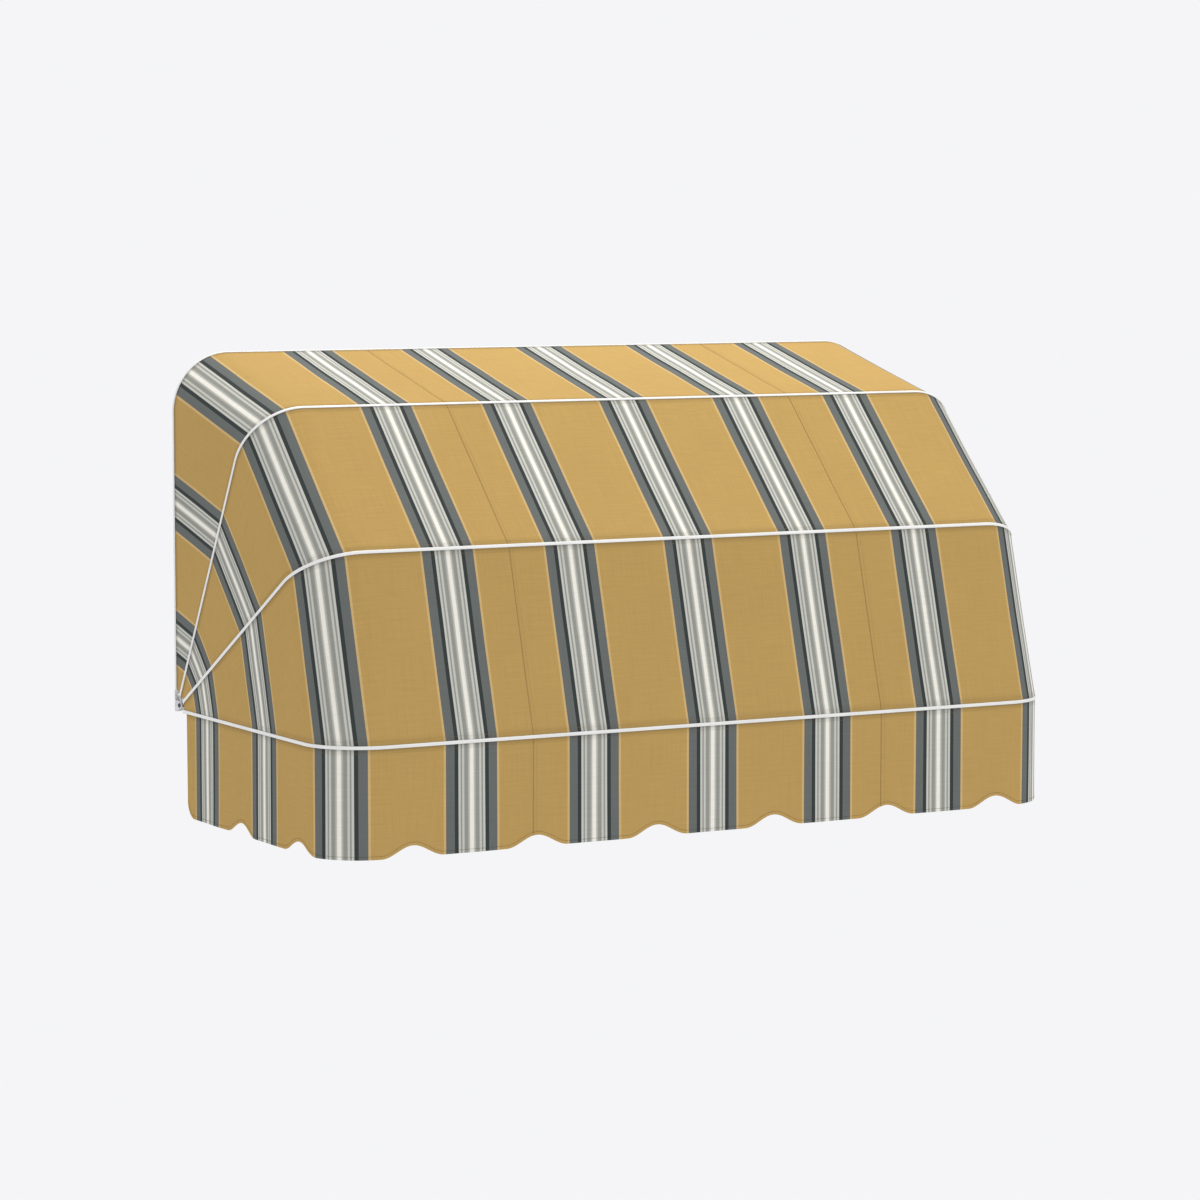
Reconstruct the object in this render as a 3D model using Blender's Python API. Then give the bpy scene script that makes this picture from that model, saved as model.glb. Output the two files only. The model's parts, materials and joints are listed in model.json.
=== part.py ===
"""Folding basket awning for a window: a cloth canopy on a wall hoop and three hinged bows.

Metres, +Z up, the front faces -Y and the width runs along X. The wall is the plane y = 0. The
origin is the middle of the wall hoop's top rail, on its back face. The bows stand open, as in use.

Every hoop is one bent aluminium rail. Its outer face is a narrow cap with a bead channel on each
side, and the cloth panels carry a round bead along their edges that slides into the channels. A
place on a rail is given as u, across it towards the wall, and d, its depth below the outer face.
"""

import math

import bmesh
import bpy
from mathutils import Vector
from mathutils.geometry import tessellate_polygon

# Whole awning
WIDTH = 2.490  # over the outer faces of the arms
HOOP_RISE = 1.080  # top of the wall hoop above the open front bow
CORNER_RADIUS = 0.180  # outer face of each bent corner
CORNER_STEPS = 8
UPPER_REACH = 1.053  # hinge axis to the outer face of the bow's top rail
MIDDLE_REACH = 1.050
FRONT_REACH = 1.060
UPPER_ANGLE = math.radians(60)  # above the horizontal, when open
MIDDLE_ANGLE = math.radians(30)
FRONT_ANGLE = 0.0
HOOP_ANGLE = math.radians(90)

# Bent rail
RAIL_WIDTH = 0.0132
RAIL_DEPTH = 0.0200
RAIL_WALL = 0.0014
RAIL_CHAMFER = 0.0005
CAP_THICKNESS = 0.0015
CAP_OVERHANG = 0.0008  # edge of the cap beyond the middle of the bead channel
LIP_WALL = 0.0010  # wall outside the bead channel
CHANNEL_STEPS = 7

# Cloth
CLOTH = 0.0008
BEAD_DIAMETER = 0.0030
BEAD_STEPS = 6
BEAD_CLEARANCE = 0.0003
MOUTH_CLEARANCE = 0.00035  # cloth to each side of the channel's mouth
CLOTH_EXIT = 0.0004  # flat run of the cloth past the rail's side
PANEL_SETBACK = 0.0020  # end of an arm to the edge of the panel
VALANCE_SETBACK = 0.0280  # end of the front arm to the edge of the valance
VALANCE_DROP = 0.3195  # below the middle of the front rail
VALANCE_CORNER = 0.050  # rounding of the two rear lower corners
SCALLOP_PITCH = 0.400
SCALLOP_PHASE = 0.213  # first notch right of the middle
SCALLOP_HALF_WIDTH = 0.100
SCALLOP_DEPTH = 0.032
SCALLOP_STEPS = 16

# Hinges
GAP = 0.0003  # between pieces that touch
FOLD_GAP = 0.0028  # between neighbouring arms when they are folded to the wall
ARM_START = 0.0260  # hinge axis to the end of each arm
BLADE = 0.0040
SPACER = 0.0008
SPACER_RADIUS = 0.0070
EYE_RADIUS = 0.0095
EYE_STEPS = 20
BOLT_RADIUS = 0.0040
BOLT_CLEARANCE = 0.0003
BOLT_HEAD_RADIUS = 0.0070
BOLT_HEAD_HEIGHT = 0.0042
BOLT_SOCKET = 0.0025  # half the hexagon socket's width across flats
BOLT_SOCKET_DEPTH = 0.0022
BOLT_END = 0.0015  # past the nut
BOLT_CHAMFER = 0.0006
NUT_HALF_WIDTH = 0.0065  # half the width across flats
NUT_HEIGHT = 0.0065
SHOULDER_LENGTH = 0.0057
SHOULDER_SETBACK = 0.0006
BLADE_ROOT = 0.0050  # half width of the blade at the shoulder
TONGUE_LENGTH = 0.0350
TONGUE_CLEARANCE = 0.0003
RIVET_PLACE = 0.0150  # end of an arm to its rivet
RIVET_RADIUS = 0.0016
RIVET_CLEARANCE = 0.0003
RIVET_HEAD_RADIUS = 0.0032
RIVET_HEAD_HEIGHT = 0.0013
RIVET_LENGTH = 0.0080  # under the head

# Wall brackets and the hoop's fixing holes
PLATE = 0.0040
PLATE_BOTTOM = -0.0060  # heights above the open front bow
PLATE_HOLE_HEIGHTS = (0.0030, 0.0450)
PLATE_CORNER = 0.0020
PLATE_HOLE_RADIUS = 0.0025
HOOP_FOOT = 0.0620
CHEEK = 0.0029
CHEEK_RADIUS = 0.0110
CHEEK_TOP = 0.0300
BLOCK_HEIGHT = 0.0100
HOOP_HOLE_RADIUS = 0.0025
HOOP_HOLE_SPACING = 0.600
HOOP_HOLES = 4
HOOP_ARM_HOLE_HEIGHT = 0.500
HOLE_STEPS = 12

# Sizes that follow from those above
HALF_RAIL = RAIL_WIDTH / 2
CHANNEL_RADIUS = BEAD_DIAMETER / 2 + BEAD_CLEARANCE
CHANNEL_U = HALF_RAIL - LIP_WALL - CHANNEL_RADIUS
CHANNEL_D = CAP_THICKNESS + CHANNEL_RADIUS
CAP_HALF = CHANNEL_U + CAP_OVERHANG
LIP_D = CAP_THICKNESS + CLOTH + 2 * MOUTH_CLEARANCE
LIP_U = CHANNEL_U + math.sqrt(CHANNEL_RADIUS**2 - (CHANNEL_D - LIP_D) ** 2)
CLOTH_D = (CAP_THICKNESS + LIP_D) / 2
CHAMBER_HALF = HALF_RAIL - RAIL_WALL
CHAMBER_TOP = CHANNEL_D + CHANNEL_RADIUS + RAIL_WALL
CHAMBER_BOTTOM = RAIL_DEPTH - RAIL_WALL
CHAMBER_MIDDLE = (CHAMBER_TOP + CHAMBER_BOTTOM) / 2
ARM_PITCH = RAIL_WIDTH + FOLD_GAP
ARM_CENTRE = WIDTH / 2 - RAIL_DEPTH / 2  # distance of an arm's middle plane from the centre
HINGE_OUT = HALF_RAIL + 2 * ARM_PITCH  # hinge axis to the wall
SPRING_Z = (LIP_D + RAIL_DEPTH - RAIL_CHAMFER) / 2 - HOOP_RISE  # level of the open front bow
HINGE = Vector((0, -HINGE_OUT, SPRING_Z + ARM_PITCH))
HALF_STACK = (3 * BLADE + 2 * SPACER + 6 * GAP) / 2
CHEEK_OUTSIDE = HALF_STACK + CHEEK
HOOP_START = HOOP_FOOT + GAP - ARM_PITCH

# Each hoop as (angle, offset of its arms from the hinge axis towards the wall, reach, arm start)
HOOP = (HOOP_ANGLE, 2 * ARM_PITCH, HOOP_RISE - ARM_PITCH, HOOP_START)
UPPER = (UPPER_ANGLE, ARM_PITCH, UPPER_REACH, ARM_START)
MIDDLE = (MIDDLE_ANGLE, 0.0, MIDDLE_REACH, ARM_START)
FRONT = (FRONT_ANGLE, -ARM_PITCH, FRONT_REACH, ARM_START)


def clear_scene():
    for obj in list(bpy.data.objects):
        bpy.data.objects.remove(obj)


def material(name, colour, roughness, metallic=0.0):
    made = bpy.data.materials.new(name)
    made.use_nodes = True
    shader = made.node_tree.nodes["Principled BSDF"]
    shader.inputs["Base Color"].default_value = (*colour, 1.0)
    shader.inputs["Roughness"].default_value = roughness
    shader.inputs["Metallic"].default_value = metallic
    made.diffuse_color = (*colour, 1.0)
    return made


def white_paint(name):
    return material(name, (0.85, 0.86, 0.87), 0.35)


def zinc(name):
    return material(name, (0.55, 0.56, 0.57), 0.4, 1.0)


def cast_grey(name):
    return material(name, (0.62, 0.63, 0.64), 0.45, 0.6)


def steel(name):
    return material(name, (0.22, 0.23, 0.24), 0.4, 1.0)


def nylon(name):
    return material(name, (0.05, 0.05, 0.05), 0.5)


def awning_cloth(name):
    return material(name, (0.62, 0.42, 0.16), 0.9)


def build(name, points, faces, look, parent=None):
    """An object whose points are given in the awning's frame. A moving piece takes its origin on
    the hinge axis."""
    origin = HINGE if parent else Vector((0, 0, 0))
    mesh = bpy.data.meshes.new(name)
    mesh.from_pydata([Vector(point) - origin for point in points], [], faces)
    shell = bmesh.new()
    shell.from_mesh(mesh)
    bmesh.ops.recalc_face_normals(shell, faces=shell.faces)
    if shell.calc_volume(signed=True) < 0:
        bmesh.ops.reverse_faces(shell, faces=shell.faces)
    shell.to_mesh(mesh)
    shell.free()
    mesh.shade_smooth()
    mesh.set_sharp_from_angle(angle=math.radians(35))
    mesh.materials.append(look(name))
    obj = bpy.data.objects.new(name, mesh)
    bpy.context.scene.collection.objects.link(obj)
    obj.parent = parent
    return obj


def helper(name, points, faces, parent=None):
    """A shape that only a Boolean uses."""
    obj = build(name, points, faces, steel, parent)
    obj.hide_render = True
    obj.display_type = "WIRE"
    return obj


def combine(obj, other, operation):
    step = obj.modifiers.new(other.name, "BOOLEAN")
    step.operation = operation
    step.solver = "EXACT"
    step.object = other


def axis_empty(name, parent=None):
    empty = bpy.data.objects.new(name, None)
    empty.empty_display_size = 0.1
    bpy.context.scene.collection.objects.link(empty)
    empty.parent = parent
    if parent is None:
        empty.location = HINGE
    return empty


def place(hoop, x, r, u):
    """A point of a hoop: x across the awning, r from the hinge axis along the arms, u across."""
    angle, offset, _, _ = hoop
    across = offset + u
    y = HINGE.y - r * math.cos(angle) + across * math.sin(angle)
    z = HINGE.z + r * math.sin(angle) + across * math.cos(angle)
    return Vector((x, y, z))


def stations(hoop, setback=0.0):
    """Steps along a hoop's outer face, left to right, as (x, r, inward x, inward r)."""
    _, _, reach, start = hoop
    half = WIDTH / 2
    steps = [(-half, start + setback, 1.0, 0.0)]
    for side in (-1, 1):
        for step in range(CORNER_STEPS + 1):
            turn = math.radians(90) * step / CORNER_STEPS
            if side > 0:
                turn = math.radians(90) - turn
            out_x = side * math.cos(turn)
            out_r = math.sin(turn)
            x = side * (half - CORNER_RADIUS) + CORNER_RADIUS * out_x
            steps.append((x, reach - CORNER_RADIUS + CORNER_RADIUS * out_r, -out_x, -out_r))
    steps.append((half, start + setback, -1.0, 0.0))
    return steps


def between(first, second, share):
    return tuple(a + (b - a) * share for a, b in zip(first, second))


def on_rail(hoop, station, u, d):
    x, r, in_x, in_r = station
    return place(hoop, x + in_x * d, r + in_r * d, u)


def loft(rings, flat, hole=0):
    """Points and faces of a solid through closed rings. The last points of each ring, as many as
    hole says, are a loop of their own inside it. flat gives the ring in two dimensions."""
    count = len(rings[0])
    outer = count - hole
    loops = [range(outer)] + ([range(outer, count)] if hole else [])
    points = [point for ring in rings for point in ring]
    faces = []
    for step in range(len(rings) - 1):
        low, high = step * count, (step + 1) * count
        for loop in loops:
            for i, j in zip(loop, [*loop[1:], loop[0]]):
                faces.append((low + i, low + j, high + j, high + i))
    outlines = [[Vector((*flat[i], 0)) for i in loop] for loop in loops]
    for triangle in tessellate_polygon(outlines):
        faces.append(tuple(triangle))
        faces.append(tuple(i + (len(rings) - 1) * count for i in reversed(triangle)))
    return points, faces


def prism(outline, holes, to_world, low, high):
    """A flat outline with holes, pulled from low to high. to_world(a, b, height) gives points."""
    ring = list(outline)
    for hole in holes:
        ring.extend(hole)
    rings = [[to_world(a, b, height) for a, b in ring] for height in (low, high)]
    loops = []
    first = 0
    for loop in (outline, *holes):
        loops.append(range(first, first + len(loop)))
        first += len(loop)
    count = len(ring)
    faces = []
    for loop in loops:
        for i, j in zip(loop, [*loop[1:], loop[0]]):
            faces.append((i, j, count + j, count + i))
    for triangle in tessellate_polygon([[Vector((*ring[i], 0)) for i in loop] for loop in loops]):
        faces.append(tuple(triangle))
        faces.append(tuple(i + count for i in reversed(triangle)))
    return rings[0] + rings[1], faces


def circle(radius, steps, centre=(0.0, 0.0)):
    turns = [math.tau * step / steps for step in range(steps)]
    return [(centre[0] + radius * math.cos(t), centre[1] + radius * math.sin(t)) for t in turns]


def rectangle(a0, a1, b0, b1, corner=0.0):
    if not corner:
        return [(a0, b0), (a1, b0), (a1, b1), (a0, b1)]
    return [
        (a0 + corner, b0),
        (a1 - corner, b0),
        (a1, b0 + corner),
        (a1, b1 - corner),
        (a1 - corner, b1),
        (a0 + corner, b1),
        (a0, b1 - corner),
        (a0, b0 + corner),
    ]


def turns_left(a, b, c):
    return (b[0] - a[0]) * (c[1] - a[1]) - (b[1] - a[1]) * (c[0] - a[0]) > 1e-9


def drawn_round(points):
    """The convex outline round some points, anticlockwise, as of a plate drawn round an eye."""
    outline = []
    for run in (sorted(points), sorted(points, reverse=True)):
        chain = []
        for point in run:
            while len(chain) > 1 and not turns_left(chain[-2], chain[-1], point):
                chain.pop()
            chain.append(point)
        outline += chain[:-1]
    return outline


def half_rail_outline():
    """The rail's outline on the +u side, from the cap round the bead channel to the inner face."""
    outline = [(CAP_HALF - RAIL_CHAMFER, 0.0), (CAP_HALF, RAIL_CHAMFER), (CAP_HALF, CAP_THICKNESS)]
    last_turn = math.tau - math.acos((CHANNEL_D - LIP_D) / CHANNEL_RADIUS)
    for step in range(CHANNEL_STEPS + 1):
        turn = last_turn * step / CHANNEL_STEPS
        u = CHANNEL_U - CHANNEL_RADIUS * math.sin(turn)
        outline.append((u, CHANNEL_D - CHANNEL_RADIUS * math.cos(turn)))
    outline.append((HALF_RAIL, LIP_D))
    outline.append((HALF_RAIL, RAIL_DEPTH - RAIL_CHAMFER))
    outline.append((HALF_RAIL - RAIL_CHAMFER, RAIL_DEPTH))
    return outline


def bent_rail(name, hoop, parent=None):
    half = half_rail_outline()
    outline = half + [(-u, d) for u, d in reversed(half)]
    chamber = rectangle(-CHAMBER_HALF, CHAMBER_HALF, CHAMBER_TOP, CHAMBER_BOTTOM)
    section = outline + chamber
    rings = [[on_rail(hoop, station, u, d) for u, d in section] for station in stations(hoop)]
    points, faces = loft(rings, section, hole=len(chamber))
    return build(name, points, faces, white_paint, parent)


def bead_edge(side):
    """The cloth's edge in a bead channel on one side of a rail, from the cloth's outer face round
    the bead to its inner face."""
    tail_u = LIP_U - CHANNEL_U
    tail_d = CLOTH_D - CHANNEL_D
    tail = math.atan2(tail_d, tail_u)
    radius = BEAD_DIAMETER / 2
    opening = math.asin(CLOTH / 2 / radius)
    edge = [(HALF_RAIL + CLOTH_EXIT, CLOTH_D - CLOTH / 2), (LIP_U, CLOTH_D - CLOTH / 2)]
    for step in range(BEAD_STEPS + 1):
        turn = tail - opening - (math.tau - 2 * opening) * step / BEAD_STEPS
        edge.append((CHANNEL_U + radius * math.cos(turn), CHANNEL_D + radius * math.sin(turn)))
    edge += [(LIP_U, CLOTH_D + CLOTH / 2), (HALF_RAIL + CLOTH_EXIT, CLOTH_D + CLOTH / 2)]
    return [(side * u, d) for u, d in edge]


def panel(name, high, low, parent=None):
    """Cloth between two hoops, from the lower channel of one to the upper channel of the next."""
    top_edge = bead_edge(-1)
    bottom_edge = list(reversed(bead_edge(1)))
    rings = []
    for above, below in zip(stations(high, PANEL_SETBACK), stations(low, PANEL_SETBACK)):
        ring = [on_rail(high, above, u, d) for u, d in top_edge]
        ring += [on_rail(low, below, u, d) for u, d in bottom_edge]
        rings.append(ring)
    apart = 6 * RAIL_WIDTH
    flat = top_edge + [(u - apart, d) for u, d in bottom_edge]
    points, faces = loft(rings, flat)
    return build(name, points, faces, awning_cloth, parent)


def along(steps):
    """Distance of each station from the middle of the hoop, negative on the left."""
    places = [0.0]
    for first, second in zip(steps, steps[1:]):
        places.append(places[-1] + math.dist(first[:2], second[:2]))
    return [place_ - places[-1] / 2 for place_ in places]


def valance_hem(end):
    """The valance's lower edge as (distance along, drop), from the left rear edge to the right."""
    hem = []
    for step in range(SCALLOP_STEPS // 2 + 1):
        turn = math.radians(90) * step / (SCALLOP_STEPS // 2)
        drop = VALANCE_DROP - VALANCE_CORNER * (1 - math.sin(turn))
        hem.append((-end + VALANCE_CORNER * (1 - math.cos(turn)), drop))
    right = [(-distance, drop) for distance, drop in reversed(hem)]
    free = end - VALANCE_CORNER - SCALLOP_HALF_WIDTH
    first = math.ceil((-free - SCALLOP_PHASE) / SCALLOP_PITCH)
    last = math.floor((free - SCALLOP_PHASE) / SCALLOP_PITCH)
    for notch in range(first, last + 1):
        middle = SCALLOP_PHASE + notch * SCALLOP_PITCH
        for step in range(SCALLOP_STEPS + 1):
            share = 2 * step / SCALLOP_STEPS - 1
            rise = SCALLOP_DEPTH * (1 + math.cos(math.pi * share)) / 2
            hem.append((middle + share * SCALLOP_HALF_WIDTH, VALANCE_DROP - rise))
    return hem + right


def valance(name, parent):
    """Scalloped cloth hanging from the lower channel of the front bow, round its three sides."""
    steps = stations(FRONT, VALANCE_SETBACK)
    places = along(steps)
    edge = bead_edge(-1)
    count = len(edge)
    points = []
    faces = []
    for step, station in enumerate(steps):
        points += [on_rail(FRONT, station, u, d) for u, d in edge]
        if step == 0:
            continue
        low, high = (step - 1) * count, step * count
        faces += [(low + i, low + i + 1, high + i + 1, high + i) for i in range(count - 1)]
    hem = valance_hem(places[-1])
    first_hem = len(points)
    strips = []
    for step in range(len(steps) - 1):
        strip = []
        inside = [edge_point for edge_point in hem if places[step] < edge_point[0] < places[step + 1]]
        for distance in (places[step], places[step + 1]):
            inside.append((distance, hem_drop(hem, distance)))
        for distance, drop in sorted(inside):
            if step and distance == places[step]:
                strip.append(strips[-1][-1])
                continue
            share = (distance - places[step]) / (places[step + 1] - places[step])
            station = between(steps[step], steps[step + 1], share)
            strip.append(len(points))
            points.append(on_rail(FRONT, station, -drop, CLOTH_D - CLOTH / 2))
            points.append(on_rail(FRONT, station, -drop, CLOTH_D + CLOTH / 2))
        strips.append(strip)
        low, high = step * count, (step + 1) * count
        faces.append((low, high, *reversed(strip)))
        faces.append((high + count - 1, low + count - 1, *[i + 1 for i in strip]))
        faces += [(i, j, j + 1, i + 1) for i, j in zip(strip, strip[1:])]
    faces.append((*range(count), first_hem + 1, first_hem))
    last = (len(steps) - 1) * count
    faces.append((*reversed(range(last, last + count)), strips[-1][-1], strips[-1][-1] + 1))
    return build(name, points, faces, awning_cloth, parent)


def hem_drop(hem, distance):
    """Drop of the hem at a distance along it."""
    for (first, first_drop), (second, second_drop) in zip(hem, hem[1:]):
        if first <= distance <= second and second > first:
            return first_drop + (second_drop - first_drop) * (distance - first) / (second - first)
    return hem[0][1]


def side_point(side, out, y, z):
    """A point by its distance out from an arm's middle plane."""
    return Vector((side * (ARM_CENTRE + out), y, z))


def turned(name, side, centre, rings, steps, look, through=False, parent=None):
    """A piece turned about an axis along X. A ring is (out, radius, sides): sides of 6 makes it a
    hexagon with radius as half its width, and 0 makes it round. through joins the last ring to the
    first, which leaves a bore."""
    points = []
    for out, radius, sides in rings:
        for step in range(steps):
            turn = math.tau * step / steps
            reach = radius
            if sides:
                part = math.tau / sides
                reach = radius / math.cos((turn + part / 2) % part - part / 2)
            y = centre[0] + reach * math.cos(turn)
            z = centre[1] + reach * math.sin(turn)
            points.append(side_point(side, out, y, z))
    faces = []
    last = len(rings) if through else len(rings) - 1
    for ring in range(last):
        low, high = ring * steps, (ring + 1) % len(rings) * steps
        for i in range(steps):
            j = (i + 1) % steps
            faces.append((low + i, low + j, high + j, high + i))
    if not through:
        faces.append(tuple(range(steps)))
        faces.append(tuple(range(len(points) - steps, len(points))))
    return build(name, points, faces, look, parent)


def cylinder(name, point_at, radius, low, high, parent=None):
    """A cutter. point_at(a, b, height) gives its points."""
    return helper(name, *prism(circle(radius, HOLE_STEPS), [], point_at, low, high), parent)


def hinge_bolt(side, label):
    head = CHEEK_OUTSIDE + GAP
    top = head + BOLT_HEAD_HEIGHT
    tip = -(CHEEK_OUTSIDE + GAP + NUT_HEIGHT + BOLT_END)
    rings = [
        (top - BOLT_SOCKET_DEPTH, BOLT_SOCKET, 6),
        (top, BOLT_SOCKET, 6),
        (top, (BOLT_SOCKET + BOLT_HEAD_RADIUS) / 2, 0),
        (head + BOLT_HEAD_HEIGHT / 3, BOLT_HEAD_RADIUS, 0),
        (head, BOLT_HEAD_RADIUS, 0),
        (head, BOLT_RADIUS, 0),
        (tip + BOLT_CHAMFER, BOLT_RADIUS, 0),
        (tip, BOLT_RADIUS - BOLT_CHAMFER, 0),
    ]
    turned(f"hinge_bolt_{label}", side, (HINGE.y, HINGE.z), rings, 18, steel)


def hinge_nut(side, label):
    bore = BOLT_RADIUS + BOLT_CLEARANCE
    outside = -(CHEEK_OUTSIDE + GAP)
    rings = [
        (outside, bore, 0),
        (outside, NUT_HALF_WIDTH, 6),
        (outside - NUT_HEIGHT, NUT_HALF_WIDTH, 6),
        (outside - NUT_HEIGHT, bore, 0),
    ]
    turned(f"hinge_nut_{label}", side, (HINGE.y, HINGE.z), rings, 18, zinc, through=True)


def spacers(side, label):
    bore = BOLT_RADIUS + BOLT_CLEARANCE
    for direction, name in ((1, "outer"), (-1, "inner")):
        near = direction * (BLADE / 2 + GAP)
        far = near + direction * SPACER
        rings = [(near, bore, 0), (near, SPACER_RADIUS, 0), (far, SPACER_RADIUS, 0), (far, bore, 0)]
        centre = (HINGE.y, HINGE.z)
        turned(f"spacer_{name}_{label}", side, centre, rings, 12, nylon, through=True)


def rivet(name, side, hoop, parent=None):
    """A blind rivet through an arm's inner wall into the tongue inside it."""
    centre = place(hoop, 0, hoop[3] + RIVET_PLACE, 0)
    seat = -(RAIL_DEPTH / 2 + GAP)
    rings = [
        (seat - RIVET_HEAD_HEIGHT, RIVET_HEAD_RADIUS / 2, 0),
        (seat - RIVET_HEAD_HEIGHT / 2, RIVET_HEAD_RADIUS, 0),
        (seat, RIVET_HEAD_RADIUS, 0),
        (seat, RIVET_RADIUS, 0),
        (seat + RIVET_LENGTH, RIVET_RADIUS, 0),
    ]
    turned(name, side, (centre.y, centre.z), rings, 10, zinc, parent=parent)


def rivet_hole(obj, side, hoop, parent=None):
    centre = place(hoop, 0, hoop[3] + RIVET_PLACE, 0)
    low = -(RAIL_DEPTH / 2 + RAIL_WALL)
    high = -RAIL_DEPTH / 2 + RIVET_LENGTH + RIVET_CLEARANCE

    def point_at(a, b, out):
        return side_point(side, out, centre.y + a, centre.z + b)

    radius = RIVET_RADIUS + RIVET_CLEARANCE
    cutter = cylinder(f"{obj.name}_rivet_cut_{side}", point_at, radius, low, high, parent)
    combine(obj, cutter, "DIFFERENCE")


def tongue_outline():
    """The tongue that fills a rail's chamber, as (u, out from the arm's middle plane)."""
    half = CHAMBER_HALF - TONGUE_CLEARANCE
    top = RAIL_DEPTH / 2 - CHAMBER_TOP - TONGUE_CLEARANCE
    bottom = RAIL_DEPTH / 2 - CHAMBER_BOTTOM + TONGUE_CLEARANCE
    return rectangle(-half, half, bottom, top)


def lug(name, side, hoop, layer, parent):
    """A hinge lug: an eye blade on the bolt, a shoulder under the arm and a tongue inside it.
    layer is the blade's place in the stack, 1 outermost."""
    _, offset, _, start = hoop
    shoulder_end = start - GAP
    shoulder_start = shoulder_end - SHOULDER_LENGTH

    def blade_point(r, n, out):
        flat = place(hoop, 0, r, n - offset)
        return side_point(side, out, flat.y, flat.z)

    def section_point(u, out, r):
        flat = place(hoop, 0, r, u)
        return side_point(side, out, flat.y, flat.z)

    root = shoulder_start + SHOULDER_LENGTH / 2
    corners = circle(EYE_RADIUS, EYE_STEPS)
    corners += [(root, offset - BLADE_ROOT), (root, offset + BLADE_ROOT)]
    outline = drawn_round(corners)
    bore = circle(BOLT_RADIUS + BOLT_CLEARANCE, HOLE_STEPS)
    middle = layer * (BLADE + SPACER + 2 * GAP)
    obj = build(
        name, *prism(outline, [bore], blade_point, middle - BLADE / 2, middle + BLADE / 2), zinc, parent
    )
    half = HALF_RAIL - SHOULDER_SETBACK
    depth = RAIL_DEPTH / 2 - SHOULDER_SETBACK
    shoulder = rectangle(-half, half, -depth, depth, corner=SHOULDER_SETBACK)
    pieces = (
        ("shoulder", shoulder, shoulder_start, shoulder_end),
        ("tongue", tongue_outline(), shoulder_end - SHOULDER_LENGTH / 2, start + TONGUE_LENGTH),
    )
    for part, shape, low, high in pieces:
        piece = helper(f"{name}_{part}", *prism(shape, [], section_point, low, high), parent)
        combine(obj, piece, "UNION")
    rivet_hole(obj, side, hoop, parent)
    return obj


def cheek_outline():
    """A bracket's cheek as (y, z): an eye round the hinge bolt, drawn back to the wall plate."""
    back = -PLATE / 2
    corners = circle(CHEEK_RADIUS, EYE_STEPS, (HINGE.y, HINGE.z))
    corners += [(back, SPRING_Z + PLATE_BOTTOM), (back, SPRING_Z + CHEEK_TOP)]
    return drawn_round(corners)


def hinge_bracket(side, label):
    """The cast wall bracket: a plate with two screw holes, two cheeks and a spigot for the hoop."""
    name = f"hinge_bracket_{label}"
    top = SPRING_Z + HOOP_FOOT

    def plate_point(out, z, y):
        return side_point(side, out, y, z)

    def cheek_point(y, z, out):
        return side_point(side, out, y, z)

    def section_point(u, out, z):
        return side_point(side, out, u - HALF_RAIL, z)

    plate = rectangle(-CHEEK_OUTSIDE, CHEEK_OUTSIDE, SPRING_Z + PLATE_BOTTOM, top, PLATE_CORNER)
    holes = [circle(PLATE_HOLE_RADIUS, HOLE_STEPS, (0, SPRING_Z + z)) for z in PLATE_HOLE_HEIGHTS]
    obj = build(name, *prism(plate, holes, plate_point, -PLATE, 0.0), cast_grey)
    bore = circle(BOLT_RADIUS + BOLT_CLEARANCE, HOLE_STEPS, (HINGE.y, HINGE.z))
    cheek = cheek_outline()
    for part, low, high in (
        ("outer_cheek", HALF_STACK, CHEEK_OUTSIDE),
        ("inner_cheek", -CHEEK_OUTSIDE, -HALF_STACK),
    ):
        piece = helper(f"{name}_{part}", *prism(cheek, [bore], cheek_point, low, high))
        combine(obj, piece, "UNION")
    block = rectangle(-HALF_RAIL, HALF_RAIL, -RAIL_DEPTH / 2, RAIL_DEPTH / 2, SHOULDER_SETBACK)
    pieces = (
        ("block", block, top - BLOCK_HEIGHT, top),
        ("spigot", tongue_outline(), top - BLOCK_HEIGHT / 2, top + TONGUE_LENGTH),
    )
    for part, shape, low, high in pieces:
        piece = helper(f"{name}_{part}", *prism(shape, [], section_point, low, high))
        combine(obj, piece, "UNION")
    rivet_hole(obj, side, HOOP)
    return obj


def fixing_holes(hoop_rail):
    """Screw holes through the wall hoop, front to back: a row in the top rail, one in each arm."""
    reach = RAIL_WIDTH + PLATE
    depth = CHAMBER_MIDDLE
    top = HINGE.z + HOOP[2] - depth
    first = -HOOP_HOLE_SPACING * (HOOP_HOLES - 1) / 2
    centres = [(first + HOOP_HOLE_SPACING * i, top) for i in range(HOOP_HOLES)]
    for side in (-1, 1):
        centres.append((side * (WIDTH / 2 - depth), SPRING_Z + HOOP_ARM_HOLE_HEIGHT))
    for number, (x, z) in enumerate(centres, 1):

        def point_at(a, b, y, x=x, z=z):
            return Vector((x + a, y, z + b))

        cutter = cylinder(f"fixing_hole_{number}", point_at, HOOP_HOLE_RADIUS, -reach, PLATE)
        combine(hoop_rail, cutter, "DIFFERENCE")


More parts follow.
